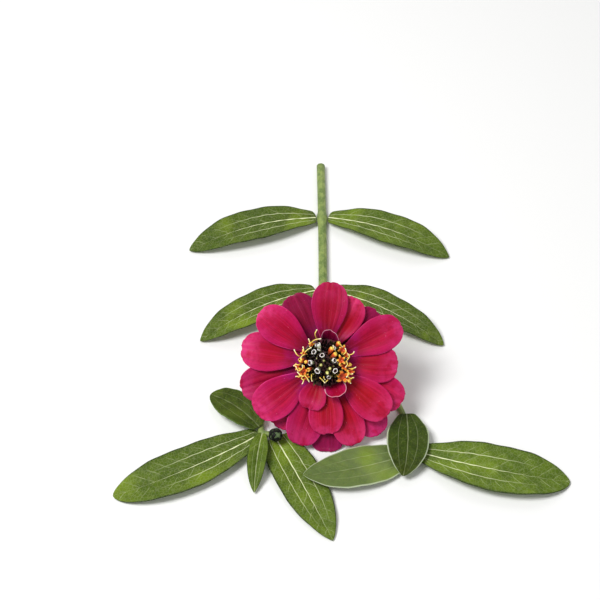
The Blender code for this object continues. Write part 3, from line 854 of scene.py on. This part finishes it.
def closed_floret(size):
    """A pale barrel of five grown-together lobes, with a mouth that goes half its depth and is painted
    dark inside as shade. It is a little flattened, more so the larger it is."""
    radius = np.array([0.42, 0.58, 0.7, 0.78, 0.8, 0.74, 0.58, 0.36, 0.26]) * MM * size
    height = np.array([0.0, 0.6, 1.3, 1.9, 2.25, 2.45, 2.4, 1.9, 1.2]) * MM * size
    return moved(turned(radius, height, 20, 5, 0.09), np.diag([1.1, 1.35 - 0.4 * size, 1.0]))


def floret_bud(size):
    """A small closed bud: a drop whose radius is the 0.7 power of a sine along its length."""
    share = np.linspace(0.04, 0.97, 9)
    radius = FLORET_BUD_RADIUS * size * np.sin(math.pi * share) ** 0.7
    return turned(radius, share * FLORET_BUD_LENGTH * size, 12)


CLOSED_COLOURS = (
    (0.0, (52, 50, 26)),
    (0.22, (140, 150, 100)),
    (0.42, (250, 250, 240)),
    (0.7, (250, 240, 238)),
    # Painted shade: the inside of the mouth is dark
    (0.8, (36, 22, 18)),
)
BUD_COLOURS = ((0.0, (70, 70, 24)), (0.5, (176, 178, 70)), (1.0, (240, 236, 150)))
CLOSED_FINISH = floret_finish("closed floret", CLOSED_COLOURS, (214, 196, 150))
FLORET_BUD_FINISH = floret_finish("floret bud", BUD_COLOURS, (240, 232, 150))
# Each closed floret and each bud: x and y of its top on the bloom in mm, size and lean
CLOSED_FLORETS = (
    (-3.9, 3.9, 1.05, 0.45),
    (-1.0, 2.8, 1.0, 0.3),
    (-2.5, 6.6, 1.15, 1.2),
    (-5.3, 0.1, 1.1, 0.7),
    (-2.7, -2.8, 1.2, 0.5),
    (3.4, 0.9, 1.0, 0.6),
    (3.6, -2.7, 1.1, 0.15),
    (7.4, 0.8, 0.9, 0.5),
    (1.4, -5.0, 0.85, 0.5),
    (3.2, 5.2, 0.8, 0.6),
    (-2.0, 4.9, 0.75, 0.9),
)
FLORET_BUDS = (
    (-1.5, -0.7, 1.25, 0.1),
    (1.8, -2.0, 1.3, 0.1),
    (-0.3, 0.8, 0.95, 0.7),
    (0.9, -3.7, 1.35, 0.3),
    (-2.8, 1.7, 0.8, 0.3),
    (-4.3, -4.1, 0.9, 0.4),
    (3.1, -1.2, 0.8, 0.5),
    (-5.9, 2.5, 0.95, 0.4),
)


def scattered(rows, form_of, length):
    """One form for each row of x, y, size and lean."""
    return together([place_floret(form_of(size), x, y, length * size, lean) for x, y, size, lean in rows])


closed_forms = scattered(CLOSED_FLORETS, closed_floret, CLOSED_LENGTH)
make("closed_florets", closed_forms, CLOSED_FINISH)
bud_forms = scattered(FLORET_BUDS, floret_bud, FLORET_BUD_LENGTH)
make("floret_buds", bud_forms, FLORET_BUD_FINISH)

# %% Styles
STYLE_RADIUS = 0.18 * MM
STYLE_RING = 7.4
STYLE_FOOT = 4.0
STYLE_TOP = 7.8
STYLE_COLOURS = (
    (0.0, (196, 110, 24)),
    (0.4, (250, 208, 78)),
    (0.7, (255, 234, 124)),
    (1.0, (255, 246, 210)),
)
STYLE_FINISH = floret_finish("style", STYLE_COLOURS, (255, 246, 190))


def style(index, start, bend, end):
    """A tube on the smooth curve from a foot on the disc up to start, then over bend to end. The
    foot lies under start, but no further out than the ring of florets. The tube swells at its tip
    by a bell."""
    foot = np.array(start) * min(STYLE_RING / math.hypot(*start), 1.0)
    top = STYLE_TOP + 0.35 * math.sin(2.3 * index)
    crest = top + 0.3 * math.sin(4.1 * index)
    line = smooth_path([(*foot, STYLE_FOOT), (*start, top), (*bend, crest), (*end, top - 0.3)], 7)
    size = STYLE_RADIUS * (1 + 0.35 * hump(np.linspace(0, 1, len(line)), 0.97, 0.07))
    size[-1] *= 0.6
    return on_bloom(tube(line, size, 7, np.array([0.6, 0.8, 0])))


# Each style: x and y of the start, the bend and the end of its arm, in mm on the bloom. Two that
# share an end are the two arms of one fork.
STYLES = (
    ((-4.9, 6.5), (-5.3, 7.4), (-5.7, 8.5)),
    ((-4.4, 7.3), (-3.2, 8.1), (-1.2, 8.4)),
    ((-3.4, 9.9), (-3.2, 10.7), (-2.7, 11.6)),
    ((-8.0, 3.2), (-7.4, 4.4), (-7.6, 5.7)),
    ((-7.0, 3.6), (-6.0, 4.6), (-4.6, 5.4)),
    ((-9.2, 2.5), (-10.1, 3.5), (-10.7, 4.7)),
    ((-7.0, 3.0), (-7.9, 2.5), (-8.4, 1.6)),
    ((-9.0, -0.6), (-10.2, -0.6), (-10.9, -1.1)),
    ((-8.9, -2.8), (-9.6, -2.2), (-10.1, -1.1)),
    ((-8.9, -2.8), (-7.8, -1.8), (-7.8, -0.6)),
    ((-6.8, -4.4), (-8.2, -4.5), (-9.6, -3.1)),
    ((-6.8, -4.4), (-6.1, -5.3), (-5.4, -6.6)),
    ((-8.8, -4.8), (-9.6, -4.6), (-10.2, -4.8)),
    ((-8.1, -5.2), (-7.4, -6.1), (-7.9, -7.4)),
    ((-4.6, -4.1), (-4.7, -5.3), (-4.4, -6.4)),
    ((-1.8, -5.0), (-0.7, -6.1), (0.1, -7.0)),
    ((1.0, -5.9), (0.5, -6.4), (0.1, -7.0)),
    ((-0.4, -4.7), (-0.3, -5.3), (0.1, -5.8)),
    ((3.9, 3.4), (3.3, 4.7), (2.8, 6.2)),
    ((5.4, 6.3), (5.7, 5.9), (6.2, 5.5)),
    ((6.4, 2.9), (7.3, 4.0), (7.0, 5.2)),
    ((7.4, 0.6), (8.5, 2.2), (7.8, 3.3)),
    ((7.4, 0.6), (7.8, -0.4), (7.1, -1.6)),
    ((9.2, -2.1), (10.0, -1.8), (10.8, -1.4)),
    ((8.0, -3.1), (8.9, -3.9), (9.8, -3.7)),
    ((8.0, -3.1), (8.0, -4.1), (7.4, -5.0)),
    ((9.0, -5.4), (9.5, -5.1), (10.1, -5.1)),
    ((8.4, -6.4), (8.7, -6.7), (9.0, -7.2)),
    ((5.2, 2.1), (4.9, 1.0), (4.4, -0.3)),
    ((9.0, 2.9), (9.8, 3.3), (10.2, 4.0)),
)
forms = [style(index, *row) for index, row in enumerate(STYLES)]
make("styles", together(forms), STYLE_FINISH)

# %% [markdown]
# ## Bracts: the cup and the bud
# Behind the petals sits a green cup of rounded bracts, each row overlapping the next like tiles,
# with a dark margin. The closed bud is the same thing in small. One function lays a bract on any
# turned outline, given as radius and depth along its length, so both use it.

# %% Bracts
BRACT_HALF = 0.16 * MM


def bract(outline, where, low, high, spread, proud, twirl, tint):
    """A sheet on a turned outline. Angle is where + side times spread times (1.02 - along^3)^0.5,
    less at the foot. The outline is read from share low at its foot to share high at its tip. The
    sheet stands proud of it, on one side further by twirl, over the next bract's other side."""
    side, along = blade_grid(15, 11)
    taper = np.sqrt(np.clip(1.02 - along**3, 0, 1)) * (0.75 + 0.25 * smoothstep(along * 3))
    angle = where + side * spread * taper
    share = low + (high - low) * along * (1 - 0.12 * side * side)
    shares = np.linspace(0, 1, len(outline))
    radius, height = (np.interp(share, shares, line) for line in outline.T)
    radius = radius + proud * (0.25 + along - 0.45 * side * side * along) + twirl * side * along
    edge = np.minimum((1 - np.abs(side)) * 1.4, 1.2 * (1 - along))
    middle = xyz(radius * np.cos(angle), radius * np.sin(angle), height)
    half = thinned(BRACT_HALF, np.minimum(edge, along) * 5)
    return sheet(middle, half, xyz(side, along, edge), tint)


def bract_rows(outline, rows, wobble, proud, twirl, tint_of):
    """Rows of bracts on an outline, each given by low, high, count and spread. Every other row is
    moved on by half a bract, and each stands further out than the one before."""
    forms = []
    for row, (low, high, count, spread) in enumerate(rows):
        out = (proud[0] + proud[1] * row) * MM
        for index in range(count):
            where = (index + 0.5 * (row % 2)) * 2 * math.pi / count + wobble * math.sin(3 * index + row)
            forms.append(bract(outline, where, low, high, spread, out, twirl, tint_of(index, row)))
    return forms


def bract_finish(name, body, light, margin, width):
    """Green with fine lengthwise lines and a dark margin of the given share of the bract."""
    f = Finish(name, 0.55, 0.2, (0.03,))
    across, along, edge = f.place()
    lines = f.streaks(across * 9.0, along, f.own("tint") * 30.0, 1.0, 3.0)
    ragged_edge = edge + (f.grain(1500.0, 2.0) - 0.5) * 0.15
    green = f.coats(
        body,
        (lines.ramp(0.35, 0.65), light),
        (ragged_edge.ramp(width * 0.5, width, 1.0, 0.0), margin),
    )
    return f.done(green, (lines, 0.4, 0.1 * MM))


# %% The cup
INVOLUCRE_RADIUS = 8.5 * MM
INVOLUCRE_DEPTH = 10.0 * MM
CUP_TOP = CORE_BOTTOM - 0.3 * MM
CUP_FINISH = bract_finish("cup bracts", (74, 104, 38), (112, 142, 62), (34, 24, 16), 0.2)
# Shares of the cup's radius and of its depth, from its foot to its top
CUP_WIDTHS = np.array([0.3, 0.42, 0.53, 0.64, 0.74, 0.83, 0.9, 0.95, 0.98, 1.0, 1.0, 0.98])
CUP_DEPTHS = np.array([1.0, 0.94, 0.86, 0.77, 0.68, 0.59, 0.5, 0.41, 0.32, 0.22, 0.1, 0.0])
# Each row of bracts: its foot and its tip as shares of the outline, its count, and half the angle
# that a bract covers
CUP_ROWS = ((0.5, 0.99, 13, 0.34), (0.3, 0.82, 11, 0.38), (0.12, 0.62, 9, 0.45), (0.0, 0.42, 7, 0.55))


def cup_tint(index, row):
    """A sine in steps of 9, so that neighbours differ."""
    return 0.5 + 0.5 * math.sin(9 * index + row)


cup = np.stack([CUP_WIDTHS * INVOLUCRE_RADIUS, CUP_TOP - CUP_DEPTHS * INVOLUCRE_DEPTH], axis=-1)
body = turned(
    np.concatenate([[0.1 * INVOLUCRE_RADIUS], cup[:, 0] - 0.2 * MM, np.array([0.8, 0.3]) * INVOLUCRE_RADIUS]),
    np.concatenate([cup[:1, 1], cup[:, 1], [CUP_TOP, CUP_TOP]]),
    64,
)
forms = [body, *bract_rows(cup, CUP_ROWS, 0.1, (0.18, 0.12), 0.06 * MM, cup_tint)]
make("cup_bracts", on_bloom(together(forms)), CUP_FINISH, ["involucre"])

# %% The bud
BUD_CENTRE = np.array([-17.2, -57.3, 4.95]) * MM
BUD_RADIUS = 2.3 * MM
BUD_LENGTH = 5.6 * MM
BUD_AXIS = unit(np.array([0.35, -0.55, 0.75]))
BUD_FINISH = bract_finish("bud bracts", (44, 64, 38), (122, 142, 96), (5, 6, 5), 0.78)
BUD_ROWS = ((0.5, 0.99, 4, 0.86), (0.34, 0.9, 5, 0.72), (0.18, 0.74, 5, 0.74), (0.05, 0.54, 5, 0.76))


def bud_tint(index, row):
    """Steps of 0.37 and 0.2, started again at each whole number."""
    return (index * 0.37 + row * 0.2) % 1


tilt = math.pi * (0.06 + 0.88 * np.linspace(0, 1, 16))
egg = np.stack([0.86 * BUD_RADIUS * np.sin(tilt) ** 0.75, -0.48 * BUD_LENGTH * np.cos(tilt)], axis=-1)
forms = [turned(*egg.T, 32), *bract_rows(egg, BUD_ROWS, 0.0, (0.08, 0.08), 0.16 * MM, bud_tint)]
bud_side = unit(np.cross(BUD_AXIS, RIGHT))
BUD_TURN = np.stack([bud_side, np.cross(BUD_AXIS, bud_side), BUD_AXIS], axis=-1)
make("bud_bracts", moved(together(forms), BUD_TURN, BUD_CENTRE), BUD_FINISH, ["bud"])

# %% [markdown]
# ## Leaves
# A zinnia leaf sits on the stem with no stalk. It is lance-shaped, with a strong pale midrib, a
# pair of long side veins that start with it at the base, and a fine net between them. The veins
# are sunk in the upper face, so the blade between them is slightly quilted. The form follows an
# arched rib: two sides folded up from it, with waved margins. The veins' paths are needed twice,
# for the relief and for the colour, so they are worked out from the same distances.

# %% Leaf finish
VEIN_STEP = 5.2
VEIN_SLANT = 1.25
SIDE_VEIN = 0.46


def leaf_finish(name, vein_share, rim_colour, bloom_share):
    """Greens by noise, cream veins and a net, under a grey-green waxy bloom of the given share. place:
    across and along in mm, and side 0 to 1."""
    f = Finish(name, 0.6, 0.12, (0.03, 0.5, (200, 210, 110)), (0.05, (0.3, 1.0, 0.2), 0.8 * MM))
    across, along, side = f.place()
    reach = abs(across)
    tint = f.own("tint")
    wander = f.streaks(across, along, tint * 50.0, 0.22, 3.0)
    patchy = wander.ramp(0.4, 0.6)
    bent = (wander - 0.5) * 1.6
    phase = (along - reach * VEIN_SLANT) / VEIN_STEP + f.math("SIGN", across) * 0.5 + bent * 0.35
    nearest = abs(f.math("FRACT", phase) - 0.5)
    pinnate = nearest.ramp(0.0, 0.035, 1.0, 0.0) * side.ramp(0.6, 0.95, 1.0, 0.1)
    midrib = (reach - along.ramp(0.0, 50.0, 0.17, -0.1)).ramp(0.0, 0.18, 1.0, 0.0)
    off = abs(side + bent * 0.03 - SIDE_VEIN)
    side_vein = off.ramp(0.004, 0.022, 1.0, 0.0) * along.ramp(14.0, 48.0, 0.85, 0.0)
    net = f.cells(across, along, tint * 9.0, 0.85).ramp(0.02, 0.1, 1.0, 0.0)
    feathered = pinnate * patchy.ramp(0.0, 1.0, 0.08, 0.38)
    veins = f.most(midrib, side_vein, feathered, net * 0.07) * vein_share
    broad = f.grain(48.0, 2.0)
    freckles = f.grain(1400.0, 3.0)
    top = f.coats(
        f.mix(tint, (40, 52, 8), (84, 108, 12)),
        (patchy, f.mix(tint, (52, 66, 14), (102, 126, 22))),
        (tint * bloom_share, (128, 140, 104)),
        (broad.ramp(0.42, 0.6, 0.0, 0.32), (54, 78, 10)),
        (broad.ramp(0.5, 0.32, 0.0, 0.5) * tint.ramp(0.0, 0.5, 0.2, 1.0), (126, 150, 26)),
        (freckles.ramp(0.5, 0.75, 0.0, 0.2), (122, 140, 40)),
        (f.grain(3000.0, 1.0).ramp(0.7, 0.76, 0.0, 0.4), (180, 192, 96)),
        (side.ramp(0.91, 0.98, 0.0, 0.85), rim_colour),
        (veins, (232, 237, 190)),
    )
    below = f.mix(veins, (122, 142, 86), (190, 200, 150))
    relief = (freckles * 0.2 - f.most(net * 0.5, pinnate), 0.5, 0.15 * MM)
    return f.done(f.mix(f.own("under"), top, below), relief, freckles.ramp(0.3, 0.7, 0.5, 0.66))


LEAF_FINISH = leaf_finish("leaf", 1.0, (26, 42, 12), 0.08)
SMOOTH_LEAF_FINISH = leaf_finish("smooth leaf", 0.18, (190, 200, 170), 0.55)
YOUNG_LEAF_FINISH = leaf_finish("young leaf", 0.45, (26, 42, 12), 0.08)
DARK_LEAF_FINISH = leaf_finish("dark leaf", 0.12, (96, 120, 62), 0.0)

# %% Leaf form
LEAF_FLOOR = 0.5 * MM
LEAF_WAVE = 0.35 * MM
LEAF_HALF = 0.2 * MM
LEAF_TAPER = 0.5 * MM
LEAST_SPREAD = 0.12 * MM
MIDRIB_WIDTH = 0.55 * MM
KEEL_HEIGHT, KEEL_WIDTH = 0.1 * MM, 0.5 * MM
REACH_IN = 0.7 * MM


def leaf_spread(half, along, widest, closing, base_share):
    """Half width: a quarter sine up to the widest place, then (1 - x^2.3) to the power closing, with
    corners at the base rounded by a quarter circle."""
    opened = np.sin(math.pi / 2 * np.clip(along / widest, 0, 1))
    rising = half * (base_share + (1 - base_share) * opened)
    beyond = np.clip((along - widest) / (1 - widest), 0, 1)
    falling = half * np.clip(1 - beyond**2.3, 0, 1) ** closing
    corner = np.sqrt(1 - (1 - np.clip(along / 0.03, 0.0, 1)) ** 2)
    return np.maximum(np.where(along < widest, rising * corner, falling), LEAST_SPREAD)


def leaf(base, tip, width, rise, bow, fold, widest, closing, base_share, tint):
    """A quadratic rib from base to tip, sides folded up from it by fold times their distance, waved
    margins, and grooves where the veins run. The underside has a keel along the midrib."""
    side, along = blade_grid(120, 57)
    start, end = np.array([base, tip]) * MM
    start = start - unit(end - start) * REACH_IN
    run = end - start
    length = np.linalg.norm(run)
    middle = (start + end) / 2 + UP * 2 * rise * MM + unit(np.cross(run, UP)) * 2 * bow * MM
    t = along[..., None]
    rib = start * (1 - t) ** 2 + middle * 2 * t * (1 - t) + end * t**2
    forward = unit((middle - start) * (1 - t) + (end - middle) * t)
    across_axis = unit(np.cross(forward, UP))
    up = np.cross(across_axis, forward)
    spread = leaf_spread(width * MM / 2, along, widest, closing, base_share)
    across = side * spread
    out = np.abs(side)
    phase = sum(base)
    wave = LEAF_WAVE * side**2 * np.sin(13 * along + phase) * smoothstep(along / 0.3)
    open_blade = smoothstep(along / 0.12) * smoothstep((1 - along) / 0.1)
    veins = (along * length - VEIN_SLANT * np.abs(across)) / MM / VEIN_STEP + 0.5 * (side < 0)
    beside = 0.12 * hump(out, SIDE_VEIN, 0.06) * smoothstep((0.8 - along) * 3)
    grooves = 0.28 * hump(across, 0, MIDRIB_WIDTH) + beside
    grooves = grooves - 0.09 * np.cos(2 * math.pi * veins) * (1 - hump(out, 1, 0.25))
    edge_wave = 0.12 * hump(out, 1, 0.3) * np.sin(37 * along + phase * 2 + 3 * side)
    lift = fold * np.abs(across) + wave + (edge_wave - grooves) * MM * open_blade
    surface = above_floor(rib + across_axis * across[..., None] + up * lift[..., None], LEAF_FLOOR)
    half = thinned(LEAF_HALF, rims(side, spread, along, length)[1] / LEAF_TAPER)
    keel = KEEL_HEIGHT * hump(across, 0, KEEL_WIDTH) * open_blade
    return sheet(surface, half, xyz(across / MM, along * length / MM, out), tint, keel)


# %% Eleven leaves
# Each leaf: base, tip, greatest width, rise of its middle, sideways bow, slope of its sides,
# where it is widest, how soon its sides close, the share of its width at its base, and its tint,
# from dark to yellow
LEAVES = {
    "shoot_left": ((-23.4, -54.7, 1.2), (-72.9, -79.8, 0.5), 17.5, 1.6, -2.5, 0.12, 0.52, 0.6, 0.36, 0.5),
    "shoot_front": ((-17.2, -56.2, 0.9), (2.4, -97.2, 0.5), 16.4, 0.6, -0.3, 0.08, 0.38, 0.8, 0.72, 0.72),
    "shoot_young": ((-22.0, -56.0, 3.1), (-24.4, -78.6, 0.9), 7.0, 2.2, 0.4, 0.2, 0.38, 0.8, 0.36, 0.7),
    "shoot_back": ((-23.6, -52.4, 3.3), (-41.0, -37.5, 2.0), 13.0, 1.4, 1.0, 0.12, 0.45, 0.7, 0.36, 0.08),
    "right_under": ((30.9, -62.0, 0.9), (-7.6, -73.6, 4.3), 16.5, 0.0, -1.5, 0.04, 0.45, 0.8, 0.36, 0.76),
    "right_outer": ((33.9, -62.4, 1.2), (84.9, -74.1, 0.5), 19.5, 1.8, 2.0, 0.14, 0.5, 0.62, 0.36, 0.8),
    "right_upper": ((29.3, -47.6, 3.2), (27.0, -73.2, 3.3), 15.0, 0.4, -1.0, 0.08, 0.4, 0.75, 0.36, 0.0),
    "middle_left": ((-3.1, 11.2, 2.2), (-46, -12, 0.8), 14.5, 3.0, 1.5, 0.16, 0.45, 0.75, 0.36, 0.55),
    "middle_right": ((3.1, 11.2, 2.2), (45, -14, 0.8), 14.0, 3.0, -1.5, 0.16, 0.42, 0.7, 0.36, 0.42),
    "lower_left": ((-2.6, 50, 1.8), (-52.3, 33.6, 0.6), 16.4, 2.6, 2.1, 0.13, 0.45, 0.7, 0.36, 0.38),
    "lower_right": ((3.2, 50, 1.8), (50, 30, 0.6), 16.0, 2.6, -2.0, 0.14, 0.48, 0.75, 0.36, 0.6),
}
OTHER_FINISHES = {
    "right_under": SMOOTH_LEAF_FINISH,
    "right_upper": SMOOTH_LEAF_FINISH,
    "shoot_young": YOUNG_LEAF_FINISH,
    "shoot_back": DARK_LEAF_FINISH,
}
for name, row in LEAVES.items():
    finish = OTHER_FINISHES.get(name, LEAF_FINISH)
    make(f"leaf_{name}_blade", leaf(*row), finish, ["leaf_" + name])

# %% [markdown]
# ## Stem and side shoots
# The stem is a ribbed green rod, a little swollen where leaves and shoots leave it, and covered
# with short stiff hairs. The neck under the bloom widens into the cup. It could be a curve with a
# bevel, but then its ribs and hairs would need a second step, so rings are carried along the same
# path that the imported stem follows. Its underside is pressed flat on the surface.

# %% Stem path
STEM_RADIUS = 1.7 * MM
STEM_AXIS_HEIGHT = 1.55 * MM
NECK_RADIUS = 2.5 * MM
STEM_END = 80 * MM
NODES = (10 * MM, 50 * MM)
NODE_SWELL, NODE_WIDTH = 0.5 * MM, 2.4 * MM
NECK_START = BLOOM_CENTRE + FACE * (CORE_BOTTOM - 0.6 * MM - INVOLUCRE_DEPTH)


def stem_path():
    """An arc from under the cup down to the surface, then a line along +Y with a slight wander."""
    bend = (NECK_START[2] - STEM_AXIS_HEIGHT) / (1 - math.cos(FACE_ELEVATION))
    left = FACE_ELEVATION * np.linspace(1, 0, 40)
    y = NECK_START[1] + bend * (math.sin(FACE_ELEVATION) - np.sin(left))
    arc = xyz(0, y, STEM_AXIS_HEIGHT + bend * (1 - np.cos(left)))
    y = np.linspace(y[-1], STEM_END, 150)
    x = 0.3 * MM * np.sin((y - y[0]) / (STEM_END - y[0]) * math.pi)
    return np.concatenate([arc, xyz(x, y, STEM_AXIS_HEIGHT)[1:]])


def stem_radius(path):
    """The stem's radius, widened smoothly towards the neck, with a bell at each leaf joint."""
    neck = smoothstep((-8 * MM - path[:, 1]) / (22 * MM))
    swell = sum(hump(path[:, 1], node, NODE_WIDTH) for node in NODES)
    return STEM_RADIUS + (NECK_RADIUS - STEM_RADIUS) * neck + NODE_SWELL * swell


path = stem_path()
print("stem length, mm:", round(np.linalg.norm(np.diff(path, axis=0), axis=1).sum() / MM))

# %% Stem and side shoots
SHOOT_RADIUS = 1.1 * MM
SHOOTS = (
    ((0, 10, 1.5), (-6, 0, 1.3), (-15, -20, 0.9), (-21, -40, 0.9), (-22.5, -53, 1.5), (-18.8, -55.6, 2.45)),
    ((0, 10, 1.5), (6, 0, 1.3), (17, -20, 0.9), (27, -42, 0.9), (31.5, -58, 1.2), (32.5, -61.5, 1.2)),
)


def stem_finish():
    """Two greens by broad noise under paler fine flecks."""
    f = Finish("stem", 0.55, 0.5, (0.15,))
    grain = f.grain(420.0, 4.0)
    fine = f.grain(2200.0, 2.0)
    green = f.coats(
        (92, 116, 46),
        (grain.ramp(0.35, 0.65), (134, 152, 76)),
        (fine.ramp(0.55, 0.75, 0.0, 0.4), (168, 180, 116)),
    )
    return f.done(green, (grain + fine, 0.4, 0.12 * MM))


shoots = []
for points in SHOOTS:
    line = smooth_path(points, 18)
    shoots.append((line, SHOOT_RADIUS * (1 + 0.2 * hump(np.linspace(0, 1, len(line)), 0.82, 0.06))))
forms = [tube(path, stem_radius(path), 36, RIGHT, 9, 0.035)]
forms += [tube(line, size, 20, UP, 7, 0.03) for line, size in shoots]
stem = together(forms)
stem["points"][:, 2] = np.maximum(stem["points"][:, 2], 0.0)
make("stem_and_shoots", stem, stem_finish(), ["stem"])


# %% Hairs
HAIR_WIDTH = 0.06 * MM
HAIR_CLEARANCE = 0.05 * MM


def hairs(line, size, count, turn, reach):
    """Short three-sided spikes that stand out of a stem, spaced by the golden angle round it."""
    place = np.linspace(0.5, len(line) - 1.5, count)
    low = place.astype(int)
    part_way = (place - low)[:, None]
    centre = line[low] * (1 - part_way) + line[low + 1] * part_way
    along = unit(line[low + 1] - line[low])
    one = unit(np.cross(along, UP))
    two = np.cross(along, one)
    angle = (np.arange(count) * GOLDEN_ANGLE + turn)[:, None]
    out = one * np.cos(angle) + two * np.sin(angle)
    foot = centre + out * (size[low] * 0.94)[:, None]
    length = reach * (0.7 + 0.3 * np.sin(np.arange(count) * 2.9))[:, None]
    beside = unit(np.cross(out, along))
    thirds = (0, 2.09, 4.19)
    corners = [foot + (beside * math.cos(k) + along * math.sin(k)) * HAIR_WIDTH for k in thirds]
    points = np.stack([*corners, foot + (out + along * 0.35) * length], axis=1)
    points = points[(points[:, :, 2] > HAIR_CLEARANCE).all(axis=1)]
    starts = np.arange(len(points))[:, None, None] * 4
    return part(points, (), starts + np.array([[0, 2, 1], [0, 1, 3], [1, 2, 3], [2, 0, 3]]))


forms = [hairs(path, stem_radius(path), 900, 0.0, 0.7 * MM)]
forms += [hairs(line, size, 420, 1.0, 0.55 * MM) for line, size in shoots]
HAIR_FINISH = plain_finish("stem hairs", (176, 190, 140), (206, 214, 170), 800.0, 0.5)
make("stem_hairs", together(forms), HAIR_FINISH)

# %% [markdown]
# ## Cut end
# The stem was cut with a blade, so its end is flat: a green rim, a pale ring of wood and a spongy
# white pith. A thin turned disc just proud of the rod's end carries that pattern.

# %% Cut end
def cut_finish():
    """A green rim round a pale, grainy middle, by the share of the way in."""
    f = Finish("cut end", 0.7)
    grain = f.grain(3000.0, 3.0)
    pith = f.mix(grain, (214, 222, 180), (188, 200, 146))
    return f.done(f.mix(f.place()[0].ramp(0.25, 0.5), (96, 122, 52), pith), (grain, 0.6, 0.1 * MM))


cut_radius = np.array([1.52, 1.6, 1.52, 1.35, 1.1, 0.7, 0.3]) * MM
cut_height = np.array([-0.1, 0.0, 0.05, 0.07, 0.06, 0.02, 0.0]) * MM
CUT_TURN = np.array([[1.0, 0, 0], [0, 0, 1.0], [0, -1.0, 0]])
cut_place = (0, STEM_END - 0.06 * MM, STEM_AXIS_HEIGHT + 0.02 * MM)
cut_end = moved(turned(cut_radius, cut_height, 36), CUT_TURN, cut_place)
make("cut_end", cut_end, cut_finish())

# %% [markdown]
# ## Floor, light and camera
# A plain pale floor and soft light from large panels keep the attention on the flower. The camera
# looks straight at the bloom's face from half a metre, with a lens long enough to keep the petals'
# proportions.

# %% Floor
floor_mesh = bpy.data.meshes.new("floor")
floor_mesh.from_pydata([(-2, -2, 0), (2, -2, 0), (2, 2, 0), (-2, 2, 0)], [], [(0, 1, 2, 3)])
floor_mesh.materials.append(Finish("floor", 0.9).done((238, 238, 237)))
floor = put_in_scene("floor", floor_mesh, place=(0, 0, -0.02 * MM))
floor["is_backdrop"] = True


# %% Light
def panel(name, place, target, size, power):
    """A square light panel at place that faces target."""
    light = bpy.data.lights.new(name, "AREA")
    light.shape = "SQUARE"
    light.size = size
    light.energy = power
    back = unit(np.array(place, float) - np.array(target, float))
    side = unit(np.cross(UP, back))
    put_in_scene(name, light, np.stack([side, np.cross(back, side), back], axis=-1), place)


panel("key", (-0.4, -0.15, 0.75), (0, -0.03, 0), 0.35, 7.0)
panel("fill", (0.6, -0.5, 0.5), (0, -0.03, 0), 0.7, 1.2)
panel("back", (0.1, 0.7, 0.6), (0, 0, 0), 0.6, 1.6)
world = bpy.data.worlds.new("studio")
bpy.context.scene.world = world
world.use_nodes = True
world.node_tree.nodes["Background"].inputs["Color"].default_value = (1, 1, 1, 1)
world.node_tree.nodes["Background"].inputs["Strength"].default_value = 0.32
bpy.context.scene.view_settings.view_transform = "Standard"
print("light panels:", len(bpy.data.lights))

# %% Camera
PIXELS_PER_METRE = 2840
DISC_PIXEL = (324.5, 362.0)
FRAME_PIXELS = 600
LENS, SENSOR = 85.0, 36.0
distance = FRAME_PIXELS / PIXELS_PER_METRE * LENS / SENSOR
aim = BLOOM_CENTRE + RIGHT * (FRAME_PIXELS / 2 - DISC_PIXEL[0]) / PIXELS_PER_METRE
aim = aim + UP_FACE * (DISC_PIXEL[1] - FRAME_PIXELS / 2) / PIXELS_PER_METRE
camera_data = bpy.data.cameras.new("camera")
camera_data.lens, camera_data.sensor_width = LENS, SENSOR
camera_data.clip_start = 0.01
bpy.context.scene.camera = put_in_scene("camera", camera_data, BLOOM_TURN, aim + FACE * distance)
print("camera stands, mm:", ((aim + FACE * distance) / MM).round(1))

# %% Sizes and finish
sizes = {"cad": np.array(cad_box).tolist(), "visual": np.array(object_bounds()).tolist()}
for name, box in sizes.items():
    print("box, mm,", name, (np.array(box) / MM).round(2).tolist())
